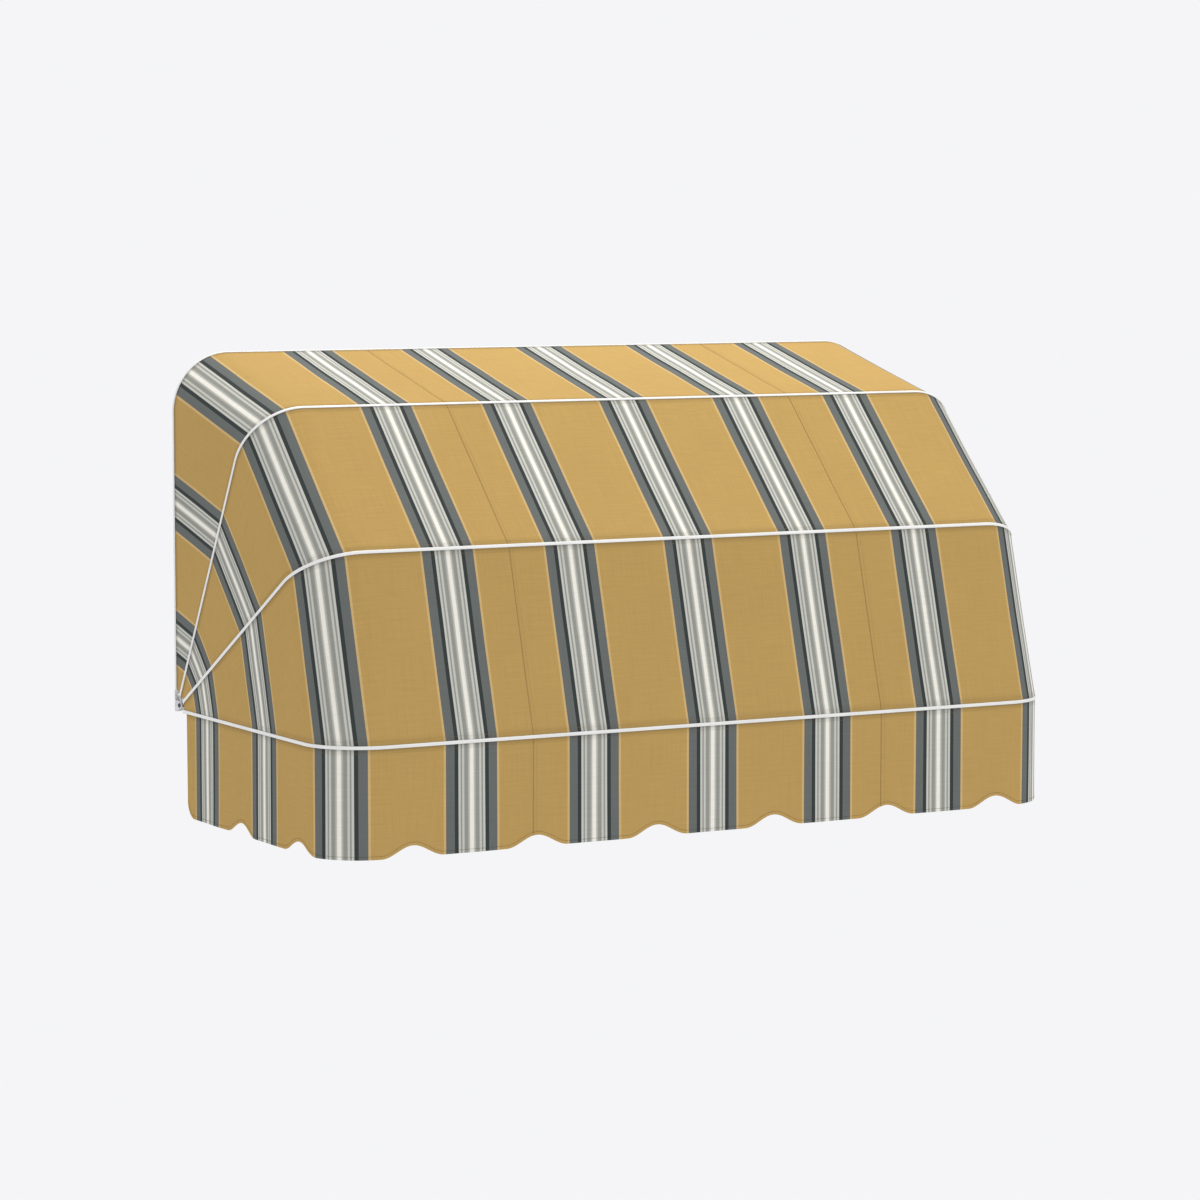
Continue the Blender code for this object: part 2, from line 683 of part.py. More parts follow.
def main():
    clear_scene()
    upper_axis = axis_empty("upper_bow_axis")
    middle_axis = axis_empty("middle_bow_axis", upper_axis)
    front_axis = axis_empty("front_bow_axis", middle_axis)
    bows = (
        ("upper", UPPER, 1, upper_axis),
        ("middle", MIDDLE, 0, middle_axis),
        ("front", FRONT, -1, front_axis),
    )
    sides = ((-1, "left"), (1, "right"))

    wall_hoop = bent_rail("wall_hoop", HOOP)
    fixing_holes(wall_hoop)
    for side, label in sides:
        rivet_hole(wall_hoop, side, HOOP)
        hinge_bracket(side, label)
        hinge_bolt(side, label)
        hinge_nut(side, label)
        spacers(side, label)
        rivet(f"rivet_hoop_{label}", side, HOOP)

    for word, hoop, layer, axis in bows:
        bow = bent_rail(f"{word}_bow", hoop, axis)
        for side, label in sides:
            rivet_hole(bow, side, hoop, axis)
            lug(f"{word}_lug_{label}", side, hoop, layer, axis)
            rivet(f"rivet_{word}_{label}", side, hoop, axis)

    panel("rear_panel", HOOP, UPPER)
    panel("middle_panel", UPPER, MIDDLE, upper_axis)
    panel("front_panel", MIDDLE, FRONT, middle_axis)
    valance("valance", front_axis)


main()
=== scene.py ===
"""The looks of a folding window awning: striped acrylic canopy, bent white rails, hinges, stage.

Metres, +Z up, the front faces -Y. The wall is the plane y = 0. A place along a bow is s, measured
on its outer face from the middle of the awning, negative on the left. A place across a rail is u,
towards the wall, and d, its depth below the outer face.
"""

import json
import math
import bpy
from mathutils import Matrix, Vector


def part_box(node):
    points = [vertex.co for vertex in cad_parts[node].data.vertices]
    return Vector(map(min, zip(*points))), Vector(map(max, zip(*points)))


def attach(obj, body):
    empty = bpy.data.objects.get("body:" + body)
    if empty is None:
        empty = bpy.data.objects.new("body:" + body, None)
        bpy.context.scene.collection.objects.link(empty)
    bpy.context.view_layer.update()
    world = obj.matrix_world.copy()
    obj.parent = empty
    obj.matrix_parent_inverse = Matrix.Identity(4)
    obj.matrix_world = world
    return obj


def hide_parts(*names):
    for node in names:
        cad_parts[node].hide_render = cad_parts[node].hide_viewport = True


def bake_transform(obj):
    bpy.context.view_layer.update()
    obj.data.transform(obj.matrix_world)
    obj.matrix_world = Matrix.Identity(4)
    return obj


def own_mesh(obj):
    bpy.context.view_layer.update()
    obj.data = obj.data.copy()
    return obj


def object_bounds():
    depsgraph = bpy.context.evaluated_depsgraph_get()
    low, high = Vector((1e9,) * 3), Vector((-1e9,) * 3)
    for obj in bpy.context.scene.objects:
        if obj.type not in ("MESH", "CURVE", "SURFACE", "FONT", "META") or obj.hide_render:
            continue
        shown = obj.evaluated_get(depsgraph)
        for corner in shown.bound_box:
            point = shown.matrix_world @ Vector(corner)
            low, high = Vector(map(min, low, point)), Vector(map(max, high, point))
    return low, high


bl_info = {
    "name": "Window awning",
    "version": (1, 0, 0),
    "blender": (4, 5, 0),
    "location": "View3D > Sidebar > Awning",
    "description": "Dresses a folding window awning with its cloth, rails, hinges and stage",
    "category": "Object",
}

from collections import namedtuple

import bmesh
import bpy
import numpy as np
from mathutils import Matrix, Vector

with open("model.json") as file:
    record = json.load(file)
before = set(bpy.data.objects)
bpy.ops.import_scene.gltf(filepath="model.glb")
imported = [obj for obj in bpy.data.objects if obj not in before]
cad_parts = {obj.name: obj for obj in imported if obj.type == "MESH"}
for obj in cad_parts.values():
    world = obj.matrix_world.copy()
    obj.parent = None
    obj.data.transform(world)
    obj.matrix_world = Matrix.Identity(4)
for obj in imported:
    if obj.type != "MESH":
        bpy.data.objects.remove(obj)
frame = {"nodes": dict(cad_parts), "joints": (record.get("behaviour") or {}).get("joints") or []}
CAD_BOX = [list(corner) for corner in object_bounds()]
HINGE = Vector(frame["joints"][0]["pos_m"])
SIDES = ((-1, "left"), (1, "right"))
SHARE = "share_of_fold"  # where a point lies between the rail above, 0, and the one below, 1
UP = "cloth_up"
BEAD_PLAY = 0.0003  # how much larger a bead channel is than the bead
SEWN_ROW = 0.010  # from a rail to the row of stitches that holds the bead
STAND_OFF = 0.0001  # from the cloth to the middle of a stitch
NUDGE = 0.0005  # step along the cloth that finds its direction
RISE = (-0.0002, 0.0005)  # where the step of a lap starts and ends, from the lap's edge

MATH, RANGE, MIX = "ShaderNodeMath", "ShaderNodeMapRange", "ShaderNodeMix"
NOISE, BUMP = "ShaderNodeTexNoise", "ShaderNodeBump"
TONES = {"output": 2, "data_type": "RGBA"}  # for a node that mixes two colours

Hoop = namedtuple("Hoop", "angle offset reach start")


def mesh_points(obj):
    points = np.empty(len(obj.data.vertices) * 3)
    obj.data.vertices.foreach_get("co", points)
    return points.reshape(-1, 3)


def measured_hoop(node, degrees):
    """Slope of a bent rail, its arms' offset from the hinge towards the wall, and the distances
    from the hinge to its outer face and to its arms' ends."""
    angle = math.radians(degrees)
    points = mesh_points(frame["nodes"][node])
    y, z = points[:, 1] - HINGE.y, points[:, 2] - HINGE.z
    along = z * math.sin(angle) - y * math.cos(angle)
    across = y * math.sin(angle) + z * math.cos(angle)
    middle = (across.min() + across.max()) / 2
    return Hoop(angle, float(middle), float(along.max()), float(along.min()))


WALL = measured_hoop("wall_hoop", 90)
UPPER = measured_hoop("upper_bow", 60)
MIDDLE = measured_hoop("middle_bow", 30)
FRONT = measured_hoop("front_bow", 0)
HALF_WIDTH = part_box("front_bow")[1].x

# The rail that rides on each body.
RAILS = {
    "wall_frame": "wall_hoop_rail",
    "upper": "upper_bow_rail",
    "middle": "middle_bow_rail",
    "front": "front_bow_rail",
}


def linear(hex_colour):
    """Linear colour of an sRGB hex value."""
    parts = [int(hex_colour[i : i + 2], 16) / 255 for i in (0, 2, 4)]
    return tuple(c / 12.92 if c < 0.04045 else ((c + 0.055) / 1.055) ** 2.4 for c in parts)


def length(name, description, default):
    return bpy.props.FloatProperty(
        name=name, description=description, default=default, min=0.0, precision=4, unit="LENGTH"
    )


def colour(name, description, default):
    limits = {"subtype": "COLOR", "size": 3, "min": 0.0, "max": 1.0}
    return bpy.props.FloatVectorProperty(
        name=name, description=description, default=linear(default), **limits
    )


def turn_of_view(name, description, degrees):
    return bpy.props.FloatProperty(
        name=name, description=description, default=math.radians(degrees), subtype="ANGLE"
    )


class AwningRailSizes(bpy.types.PropertyGroup):
    width: length("Rail width", "Width of a rail across its bead channels", 0.0132)
    depth: length("Rail depth", "Depth of a rail below its outer face", 0.0200)
    wall: length("Wall", "Thickness of the rail's walls", 0.0014)
    cap: length("Cap", "Thickness of the visible white cap", 0.0015)
    crown: length("Cap crown", "How far the middle of the cap stands proud", 0.0014)
    edge: length("Cap edge", "How far the cap's edges fall off", 0.0004)
    overhang: length("Cap overhang", "Edge of the cap beyond the middle of the channel", 0.0013)
    lip: length("Channel lip", "Wall outside the bead channel", 0.0010)
    corner: length("Corner radius", "Radius of the outer face at each bent corner", 0.1800)
    corner_steps: bpy.props.IntProperty(
        name="Corner steps", description="Flats round each bent corner", default=30, min=4
    )
    screw_hole: length("Screw hole", "Diameter of the wall hoop's screw holes", 0.0050)
    hole_spacing: length("Hole spacing", "Distance between the screw holes of the top rail", 0.600)
    hole_count: bpy.props.IntProperty(
        name="Holes", description="Screw holes in the wall hoop's top rail", default=4, min=2
    )
    arm_hole: length("Arm hole height", "Screw hole of each arm above the open front bow", 0.500)
    coat: colour("Powder coat", "White powder coat of the rails", "F1F1EF")


class AwningClothSizes(bpy.types.PropertyGroup):
    thickness: length("Cloth", "Thickness of the acrylic canvas", 0.0008)
    bead: length("Bead", "Diameter of the round bead welded into each fixed edge", 0.0030)
    step: length("Mesh step", "Distance between the cloth's mesh lines", 0.0085)
    sag: length("Sag", "How far the taut cloth draws in between two bows", 0.0010)
    panel_wave: length("Panel wave", "Height of the soft waves between two bows", 0.0007)
    pucker: length("Pucker", "Height of the puckers beside each stitched edge", 0.00035)
    wave: length("Valance wave", "Depth of the waves at the hanging hem", 0.0026)
    repeat: length("Stripe repeat", "Distance between two stripe bands", 0.4000)
    ease: length("Ease", "How much wider the stripes lie on each side for a metre of bow", 0.0250)
    ease_left: length("Left ease", "Where the stripes start to widen on the left", 0.85)
    ease_right: length("Right ease", "Where the stripes start to widen on the right", 1.20)
    ease_run: length("Ease run", "How far along the bow the stripes go on widening", 1.15)
    seam_left: length("Left seam", "Left edge of the left seam's lap from the middle", 0.6010)
    seam_right: length("Right seam", "Left edge of the right seam's lap from the middle", 0.5915)
    lap: length("Seam lap", "Width of the overlap at each seam", 0.0140)
    hem: length("Hem", "Width of the folded hem", 0.0112)
    drop: length("Valance drop", "Valance below the middle of the front rail", 0.3195)
    scallop_pitch: length("Scallop pitch", "Distance between the valance's notches", 0.400)
    scallop_place: length("Scallop place", "First notch right of the middle", 0.213)
    scallop_half: length("Scallop half", "Half of a notch's width", 0.100)
    scallop_depth: length("Scallop depth", "How far a notch rises above the hem", 0.034)
    free_corner: length("Free corner", "Rounding of the valance's lower ends", 0.050)
    panel_end: length("Panel end", "From a panel's end to the end of its arm", 0.002)
    valance_end: length("Valance end", "From the valance's end to the end of the arm", 0.020)
    pitch: length("Stitch pitch", "Distance from one stitch to the next", 0.0045)
    thread: length("Thread", "Thickness of the sewing thread", 0.0006)
    hem_cord: length("Hem thread", "Thickness of the heavier thread of the hem", 0.0011)
    seam_thread: colour("Seam thread", "Thread of the seams and rails", "A98B52")
    hem_thread: colour("Hem thread colour", "Thread of the hem", "4A3B24")
    gold: colour("Gold yarn", "Ground of the cloth", "BE9C5D")
    amber: colour("Amber yarn", "Fine line beside the slate bands", "D2B27A")
    slate: colour("Slate yarn", "Outer bands of the stripe", "6B6F6D")
    charcoal: colour("Charcoal yarn", "Dark lines of the stripe", "3C4241")
    ash: colour("Ash yarn", "Mid grey of the stripe", "999A92")
    pearl: colour("Pearl yarn", "Light lines of the stripe", "CBCBC3")
    ivory: colour("Ivory yarn", "Middle of the stripe", "F5F1E6")


class AwningHingeSizes(bpy.types.PropertyGroup):
    edge: length("Cast edge", "Rounding of the cast brackets' edges", 0.0006)
    casting: colour("Coated casting", "Powder coat of the cast brackets", "DCDDDE")
    zinc: colour("Zinc plating", "Lugs, nuts and rivets", "D2D5D7")
    oxide: colour("Black oxide", "Hinge bolts", "5E5953")
    nylon: colour("Nylon", "Spacers between the hinge eyes", "232425")


class AwningStageSettings(bpy.types.PropertyGroup):
    lens: bpy.props.FloatProperty(
        name="Lens", description="Focal length on a 36 mm sensor", default=120.15, unit="CAMERA"
    )
    place: bpy.props.FloatVectorProperty(
        name="Camera", description="Place", default=(-6.00514, -11.15846, 0.42655), unit="LENGTH"
    )
    shift: bpy.props.FloatVectorProperty(
        name="Shift", description="Shift of the picture", default=(-0.00055, 0.0004), size=2
    )
    azimuth: turn_of_view("Azimuth", "Turn of the view from straight ahead", -29.21356)
    elevation: turn_of_view("Elevation", "Height of the view above the horizon", 5.51086)
    backdrop: colour("Backdrop", "Plain backdrop and floor", "F5F5F7")
    sky: bpy.props.FloatProperty(name="Sky", description="Strength of the even light", default=0.84)
    key: bpy.props.FloatProperty(name="Key", description="Watts of the lamp overhead", default=149.0)
    fill: bpy.props.FloatProperty(name="Fill", description="Watts of the lamp in front", default=44.0)
    drop: length("Floor", "Ground below the valance, as under a window on the upper floor", 2.2)


def place(hoop, x, r, u):
    """Points of a hoop: x across the awning, r from the hinge along the arms, u across the rail."""
    across = hoop.offset + u
    y = HINGE.y - r * math.cos(hoop.angle) + across * math.sin(hoop.angle)
    z = HINGE.z + r * math.sin(hoop.angle) + across * math.cos(hoop.angle)
    return np.stack(np.broadcast_arrays(x, y, z), axis=-1)


def arm_end(hoop, corner, setback):
    """Where an arm ends, as a place along its hoop."""
    bend_end = HALF_WIDTH - corner + corner * math.pi / 2
    return bend_end + hoop.reach - corner - hoop.start - setback


def on_rail(hoop, corner, s, u, d):
    """Points of a rail at s along it, u across and d below its outer face."""
    straight = HALF_WIDTH - corner
    side = np.sign(s)
    s = np.abs(s)
    turn = np.clip((s - straight) / corner, 0, math.pi / 2)
    arm = np.clip(s - straight - corner * math.pi / 2, 0, None)
    x = side * (np.minimum(s, straight) + corner * np.sin(turn) - d * np.sin(turn))
    r = hoop.reach - corner + corner * np.cos(turn) - arm - d * np.cos(turn)
    return place(hoop, x, r, u)


def columns(end, step, extra):
    """Places of the cloth's mesh lines from -end to end, with the extra ones among them."""
    count = math.ceil(end / step)
    even = np.linspace(0, end, count + 1)
    extra = np.array(sorted(x for x in extra if x < end))
    if len(extra):
        even = even[np.abs(even[:, None] - extra[None]).min(axis=1) > step / 3]
    half = np.unique(np.concatenate([even, extra]))
    return np.concatenate([-half[:0:-1], half])


def seam_starts(sizes):
    """Left edges of the two laps where widths of cloth are sewn together."""
    return -sizes.seam_left, sizes.seam_right


def seam_columns(sizes):
    """Distances from the middle of the mesh lines that give each lap its two edges."""
    edges = [abs(start + across) for start in seam_starts(sizes) for across in (0, sizes.lap)]
    return [edge + offset for edge in edges for offset in (-0.0009, *RISE, 0.0013)]


def smooth_step(x):
    x = np.clip(x, 0, 1)
    return x * x * (3 - 2 * x)


def lap_height(sizes, s):
    """Height of the second layer where two widths of cloth overlap."""
    inside = 0.0
    run = RISE[1] - RISE[0]
    for start in seam_starts(sizes):
        past = smooth_step((s - start - RISE[0]) / run)
        inside = inside + past * smooth_step((start + sizes.lap + RISE[1] - s) / run)
    return sizes.thickness * inside


def stripe_place(sizes, s):
    """Place in the stripe pattern. The cloth is eased round the bent corners, sooner on the left."""
    past = np.abs(s) - np.where(s < 0, sizes.ease_left, sizes.ease_right)
    return s - np.sign(s) * sizes.ease * np.clip(past, 0, sizes.ease_run)


def waves(s, parts):
    """Sum of sine waves along s, each given by its height, its length and its phase."""
    return sum(height * np.sin(math.tau * s / run + phase) for height, run, phase in parts)


def ripple(s, phase):
    """Uneven puckers along an edge, from -1 to 1."""
    return waves(s, ((0.5, 0.047, phase), (0.3, 0.031, 2.1 * phase), (0.2, 0.083, 0.7 * phase)))


def sewn_edge(near, reach):
    """Share of the puckers at a distance from a sewn edge: none on it, then dying out."""
    return np.exp(-near / reach) * (1 - np.exp(-near / 0.004))


def arc(centre, radii, first, last, steps):
    """Points round a part of an ellipse, as (u, d). A turn of 0 points along u."""
    turns = [first + (last - first) * step / steps for step in range(steps + 1)]
    (u, d), (wide, deep) = centre, radii
    return [(u + wide * math.cos(turn), d + deep * math.sin(turn)) for turn in turns]


def channel(rails, cloth):
    """Middle of a rail's bead channel, as (u, d), and its radius."""
    radius = cloth.bead / 2 + BEAD_PLAY
    return (rails.width / 2 - rails.lip - radius, rails.cap + radius), radius


def bead_section(rails, cloth):
    """The cloth's edge in a bead channel, from the cloth's outer face round the bead to its inner
    face, as (u, d) for the +u side of a rail."""
    centre, channel_radius = channel(rails, cloth)
    half, radius = cloth.thickness / 2, cloth.bead / 2
    cloth_d = rails.cap + half + 0.00035
    outside = rails.width / 2 + 0.0004
    tail_u = centre[0] + channel_radius * 0.9
    tail = math.atan2(cloth_d - centre[1], tail_u - centre[0])
    opening = math.asin(half / radius)
    bead = arc(centre, (radius, radius), tail - opening, tail + opening - math.tau, 10)
    outer = [(u, cloth_d - half) for u in (outside, tail_u)]
    return outer + bead + [(u, cloth_d + half) for u in (tail_u, outside)]


class Panel:
    """Cloth between two hoops. Points are given by s along them and t across, from the rail above,
    0, to the rail below, 1."""

    def __init__(self, rails, cloth, high, low, phase):
        self.rails, self.cloth, self.high, self.low, self.phase = rails, cloth, high, low, phase
        self.corner = rails.corner
        self.ends = [arm_end(hoop, self.corner, cloth.panel_end) for hoop in (high, low)]
        self.end = min(self.ends)
        self.free = self.end - 0.15  # up to here both hoops share their places
        self.out_u, self.out_d = bead_section(rails, cloth)[0]

    def along(self, q, which):
        """Place on one of the two hoops. Near the hinge the last bit is stretched to its end."""
        size = np.abs(q)
        share = np.clip((size - self.free) / (self.end - self.free), 0, 1)
        stretched = self.free + share * (self.ends[which] - self.free)
        return np.sign(q) * np.where(size > self.free, stretched, size)

    def taut(self, q, t):
        """Points of the cloth's outer face if it were a plain ruled sheet."""
        above = on_rail(self.high, self.corner, self.along(q, 0), -self.out_u, self.out_d)
        below = on_rail(self.low, self.corner, self.along(q, 1), self.out_u, self.out_d)
        return above + (below - above) * t[..., None]

    def span(self, q):
        """Distance from rail to rail."""
        gap = self.taut(q, np.ones_like(q)) - self.taut(q, np.zeros_like(q))
        return np.linalg.norm(gap, axis=-1)

    def outwards(self, q, t):
        """Directions that point out of the cloth."""
        side = self.taut(np.clip(q + NUDGE, -self.end, self.end), t)
        side = side - self.taut(np.clip(q - NUDGE, -self.end, self.end), t)
        down = self.taut(q, np.ones_like(t)) - self.taut(q, np.zeros_like(t))
        found = np.cross(down, side)
        return found / np.linalg.norm(found, axis=-1)[..., None]

    def relief(self, q, t):
        """Height of the cloth over the ruled sheet: sag, puckers, soft waves and seam laps."""
        span = self.span(q)
        near = np.minimum(t, 1 - t) * span
        # Sag and waves die out towards the hinges, where the span is short.
        sag = -self.cloth.sag * np.clip(span / 0.5, 0, 1) * 4 * t * (1 - t)
        rippled = ripple(q, self.phase + 3 * (t > 0.5))
        pucker = self.cloth.pucker * sewn_edge(near, 0.022) * rippled
        soft = np.sin(math.tau * q / 0.61 + self.phase) * np.sin(math.tau * (q + span * t) / 0.37)
        wave = self.cloth.panel_wave * soft * np.sin(math.pi * t) * np.clip(span / 0.4, 0, 1)
        lap = lap_height(self.cloth, q) * smooth_step(near / 0.005)
        return sag + pucker + wave + lap

    def surface(self, q, t, height=0.0):
        total = self.relief(q, t) + height
        return self.taut(q, t) + self.outwards(q, t) * total[..., None]


def keep_with_points(mesh, word, values):
    """Stores a number or a direction with each point of a mesh."""
    kind, key = ("FLOAT", "value") if values.ndim == 1 else ("FLOAT_VECTOR", "vector")
    layer = mesh.attributes.new(word, kind, "POINT")
    layer.data.foreach_set(key, values.astype(np.float32).ravel())


def loft(name, rings, maps, shares, count, bead):
    """A closed cloth of equal rings. A ring runs along the outer face for count points, round a
    bead of so many points, and back along the inner face, and a second bead may close it."""
    lines, size, _ = rings.shape
    points = rings.reshape(-1, 3)
    line = np.arange(lines - 1)[:, None] * size
    first, after = line + np.arange(size), line + np.roll(np.arange(size), -1)
    faces = np.stack([first, after, after + size, first + size], axis=-1).reshape(-1, 4).tolist()
    back = count + bead
    rounds = ([*range(count - 1, back + 1)], [*range(back + count - 1, size), 0])
    for base in (0, (lines - 1) * size):
        for i in range(count - 1):
            inner = back + count - 1 - i
            faces.append([base + i, base + i + 1, base + inner - 1, base + inner])
        for ring in rounds:
            while len(ring) > 3:
                faces.append([base + ring[0], base + ring[1], base + ring[-2], base + ring[-1]])
                ring = ring[1:-1]
            if len(ring) == 3:
                faces.append([base + i for i in ring])
    mesh = bpy.data.meshes.new(name)
    mesh.from_pydata(points.tolist(), [], faces)
    layer = mesh.uv_layers.new(name="cloth")
    corners = np.empty(len(mesh.loops), np.int32)
    mesh.loops.foreach_get("vertex_index", corners)
    layer.uv.foreach_set("vector", maps.reshape(-1, 2)[corners].astype(np.float32).ravel())
    keep_with_points(mesh, SHARE, shares.reshape(-1))
    return finished(name, mesh)


def placed(name, data):
    """An object in the scene for this mesh, lamp or camera."""
    obj = bpy.data.objects.new(name, data)
    bpy.context.scene.collection.objects.link(obj)
    return obj


def finished(name, mesh, angle=40.0):
    """An object at the origin with its faces turned outwards."""
    shell = bmesh.new()
    shell.from_mesh(mesh)
    bmesh.ops.recalc_face_normals(shell, faces=shell.faces)
    if shell.calc_volume(signed=True) < 0:
        bmesh.ops.reverse_faces(shell, faces=shell.faces)
    shell.to_mesh(mesh)
    shell.free()
    mesh.shade_smooth()
    mesh.set_sharp_from_angle(angle=math.radians(angle))
    return placed(name, mesh)


def feed(node, inputs):
    """Fills a node's inputs, in order or by name, with values or with sockets to link from."""
    for key, value in inputs.items() if isinstance(inputs, dict) else enumerate(inputs):
        socket = node.inputs[key]
        if isinstance(value, bpy.types.NodeSocket):
            node.id_data.links.new(value, socket)
        elif socket.type == "RGBA":
            socket.default_value = (*value[:3], 1.0)
        else:
            socket.default_value = value


def add(tree, kind, inputs=(), output=0, **settings):
    """Adds a node with its settings and links, and returns one of its outputs."""
    made = tree.nodes.new(kind)
    for key, value in settings.items():
        setattr(made, key, value)
    feed(made, inputs)
    return made.outputs[output] if len(made.outputs) else None


def new_material(name):
    """A material with its tree, its Principled shader and the place on the object in metres."""
    made = bpy.data.materials.new(name)
    made.use_nodes = True
    tree = made.node_tree
    spot = add(tree, "ShaderNodeTexCoord", output="Object")
    return made, tree, tree.nodes["Principled BSDF"], spot


def woven_acrylic(cloth):
    """Solution-dyed acrylic canvas, plain woven. The eye sees dull, even yarn colours in crisp
    bands along the warp, faint slubs both ways and a slight bloom at a low angle."""
    made, tree, shader, spot = new_material("woven_acrylic_canvas")
    on_cloth = add(tree, "ShaderNodeUVMap", uv_map="cloth")
    along = add(tree, "ShaderNodeSeparateXYZ", [on_cloth])
    down = along.node.outputs[1]

    words = ("gold", "amber", "slate", "charcoal", "ash", "pearl", "ivory")
    yarns = {word: getattr(cloth, word) for word in words}
    yarns["stone"] = [(a + b) / 2 for a, b in zip(cloth.ash, cloth.pearl)]
    # Half of the stripe band: each yarn and the millimetres from the middle between which it runs.
    band = (
        ("ivory", 0.0, 5.2),
        ("pearl", 6.6),
        ("stone", 10.8),
        ("ash", 13.8, 23.0),
        ("pearl", 25.0, 30.5),
        ("ash", 31.2, 35.2),
        ("pearl", 36.0, 42.2),
        ("charcoal", 42.9, 54.3),
        ("slate", 55.0, 81.3),
        ("amber", 82.0, 87.5),
        ("gold", 89.5),
    )
    half_band = 0.1
    marks = [(place / 1000 / half_band, yarns[word]) for word, *places in band for place in places]
    distance = add(tree, MATH, (along, cloth.repeat / 2), operation="PINGPONG")
    share = add(tree, MATH, (distance, half_band), operation="DIVIDE")
    stripes = add(tree, "ShaderNodeValToRGB", [share])
    stops = stripes.node.color_ramp.elements
    while len(stops) < len(marks):
        stops.new(1.0)
    for stop, (place, yarn) in zip(stops, marks):
        stop.position = place
        stop.color = (*yarn, 1.0)

    # Slubs are 0.5 mm threads. They are drawn about 3 mm wide, as coarse as the eye needs here.
    threads = []
    for stretch, seed in (((330.0, 7.0, 1.0), 0.0), ((9.0, 290.0, 1.0), 7.3)):
        laid = {"Vector": on_cloth, "Scale": stretch, "Location": (seed, seed, 0.0)}
        where = add(tree, "ShaderNodeMapping", laid)
        inputs = {"Vector": where, "Scale": 1.0, "Detail": 3.0, "Roughness": 0.6}
        threads.append(add(tree, NOISE, inputs, noise_dimensions="2D"))
    slub = add(tree, MATH, threads, operation="ADD")
    shade = add(tree, RANGE, (slub, 0.70, 1.30, 0.945, 1.055))

    # Sun and rain leave slow changes of tone, a hand's width or more across.
    cloud = add(tree, NOISE, {"Vector": spot, "Scale": 1000 / 260, "Detail": 2.0})
    weathered = add(tree, RANGE, (cloud, 0.3, 0.7, 0.985, 1.015))
    shade = add(tree, MATH, (shade, weathered), operation="MULTIPLY")
    grey = add(tree, "ShaderNodeCombineColor", (shade, shade, shade))
    toned = add(tree, MIX, {0: 1.0, 6: stripes, 7: grey}, blend_type="MULTIPLY", **TONES)

    # Painted shade: the cloth is darkened below each rail, within about 20 mm, and a little just
    # above the next, where the rails' caps shade it.
    below = add(tree, MATH, [down], operation="FRACT")
    below = add(tree, RANGE, (below, 0.0, 0.022, 1.0, 0.0))
    below = add(tree, MATH, (below, 2.5), operation="POWER")
    share = add(tree, "ShaderNodeAttribute", output="Fac", attribute_name=SHARE)
    above = add(tree, RANGE, (share, 0.955, 1.0, 0.0, 0.45))
    dust_and_painted_shade = add(tree, MATH, (below, above), operation="MAXIMUM")
    dust_and_painted_shade = add(tree, MATH, (dust_and_painted_shade, 0.36), operation="MULTIPLY")

    # A painted shadow line about a millimetre wide runs along the left edge of each seam's lap, where
    # the lap steps up.
    gaps = [add(tree, MATH, (along, start), operation="SUBTRACT") for start in seam_starts(cloth)]
    gaps = [add(tree, MATH, [gap], operation="ABSOLUTE") for gap in gaps]
    from_seam = add(tree, MATH, gaps, operation="MINIMUM")
    line = add(tree, RANGE, (from_seam, 0.0005, 0.0013, 0.38, 0.0))
    dust_and_painted_shade = add(tree, MATH, (dust_and_painted_shade, line), operation="ADD")

    # Threads of the plain weave, 1.6 mm apart, drawn coarser than the real 0.6 mm.
    turns = [add(tree, MATH, (a, math.tau / 0.0016), operation="MULTIPLY") for a in (along, down)]
    weave = [add(tree, MATH, [turn], operation="SINE") for turn in turns]
    woven = add(tree, MATH, weave, operation="MULTIPLY")
    woven = add(tree, MATH, (woven, 0.12), operation="MULTIPLY")
    height = add(tree, MATH, (woven, slub), operation="ADD")
    # The base colour is mixed towards dark brown by the painted shade at the rails and the painted
    # shadow lines at the laps.
    feed(shader, {
        "Base Color": add(tree, MIX, {0: dust_and_painted_shade, 6: toned, 7: linear("3A352A")}, **TONES),
        "Normal": add(tree, BUMP, {"Height": height, "Strength": 0.35, "Distance": 0.0004}),
        "Roughness": 0.93,
        "Specular IOR Level": 0.07,
        "Sheen Weight": 0.02,
        "Sheen Roughness": 0.5,
    })
    return made


def sewing_thread(name, tone):
    """Twisted polyester thread: dull, with a slight shine and a change of tone along its twist."""
    made, tree, shader, spot = new_material(name)
    twist = add(tree, NOISE, {"Vector": spot, "Scale": 1000 / 1.2})
    dark = [c * 0.75 for c in tone]
    toned = add(tree, MIX, {0: twist, 6: tone, 7: dark}, **TONES)
    feed(shader, {"Base Color": toned, "Roughness": 0.6})
    return made


def powder_coat(rails):
    """White polyester powder coat baked on extruded aluminium: bright, half gloss, with a faint
    orange peel and a trace of dust that softens the white."""
    made, tree, shader, spot = new_material("white_powder_coated_aluminium")
    peel = add(tree, NOISE, {"Vector": spot, "Scale": 1000 / 1.4, "Detail": 2.0})
    dust_and_painted_shade = add(tree, NOISE, {"Vector": spot, "Scale": 1000 / 90, "Detail": 4.0})
    worn = [c * 0.93 for c in rails.coat]
    share = add(tree, RANGE, (dust_and_painted_shade, 0.35, 0.75))
    feed(shader, {
        "Base Color": add(tree, MIX, {0: share, 6: rails.coat, 7: worn}, **TONES),
        "Normal": add(tree, BUMP, {"Height": peel, "Strength": 0.15, "Distance": 0.0001}),
        "Roughness": add(tree, RANGE, (dust_and_painted_shade, 0.3, 0.7, 0.30, 0.42)),
        "Coat Weight": 0.15,
        "Coat Roughness": 0.2,
    })
    return made


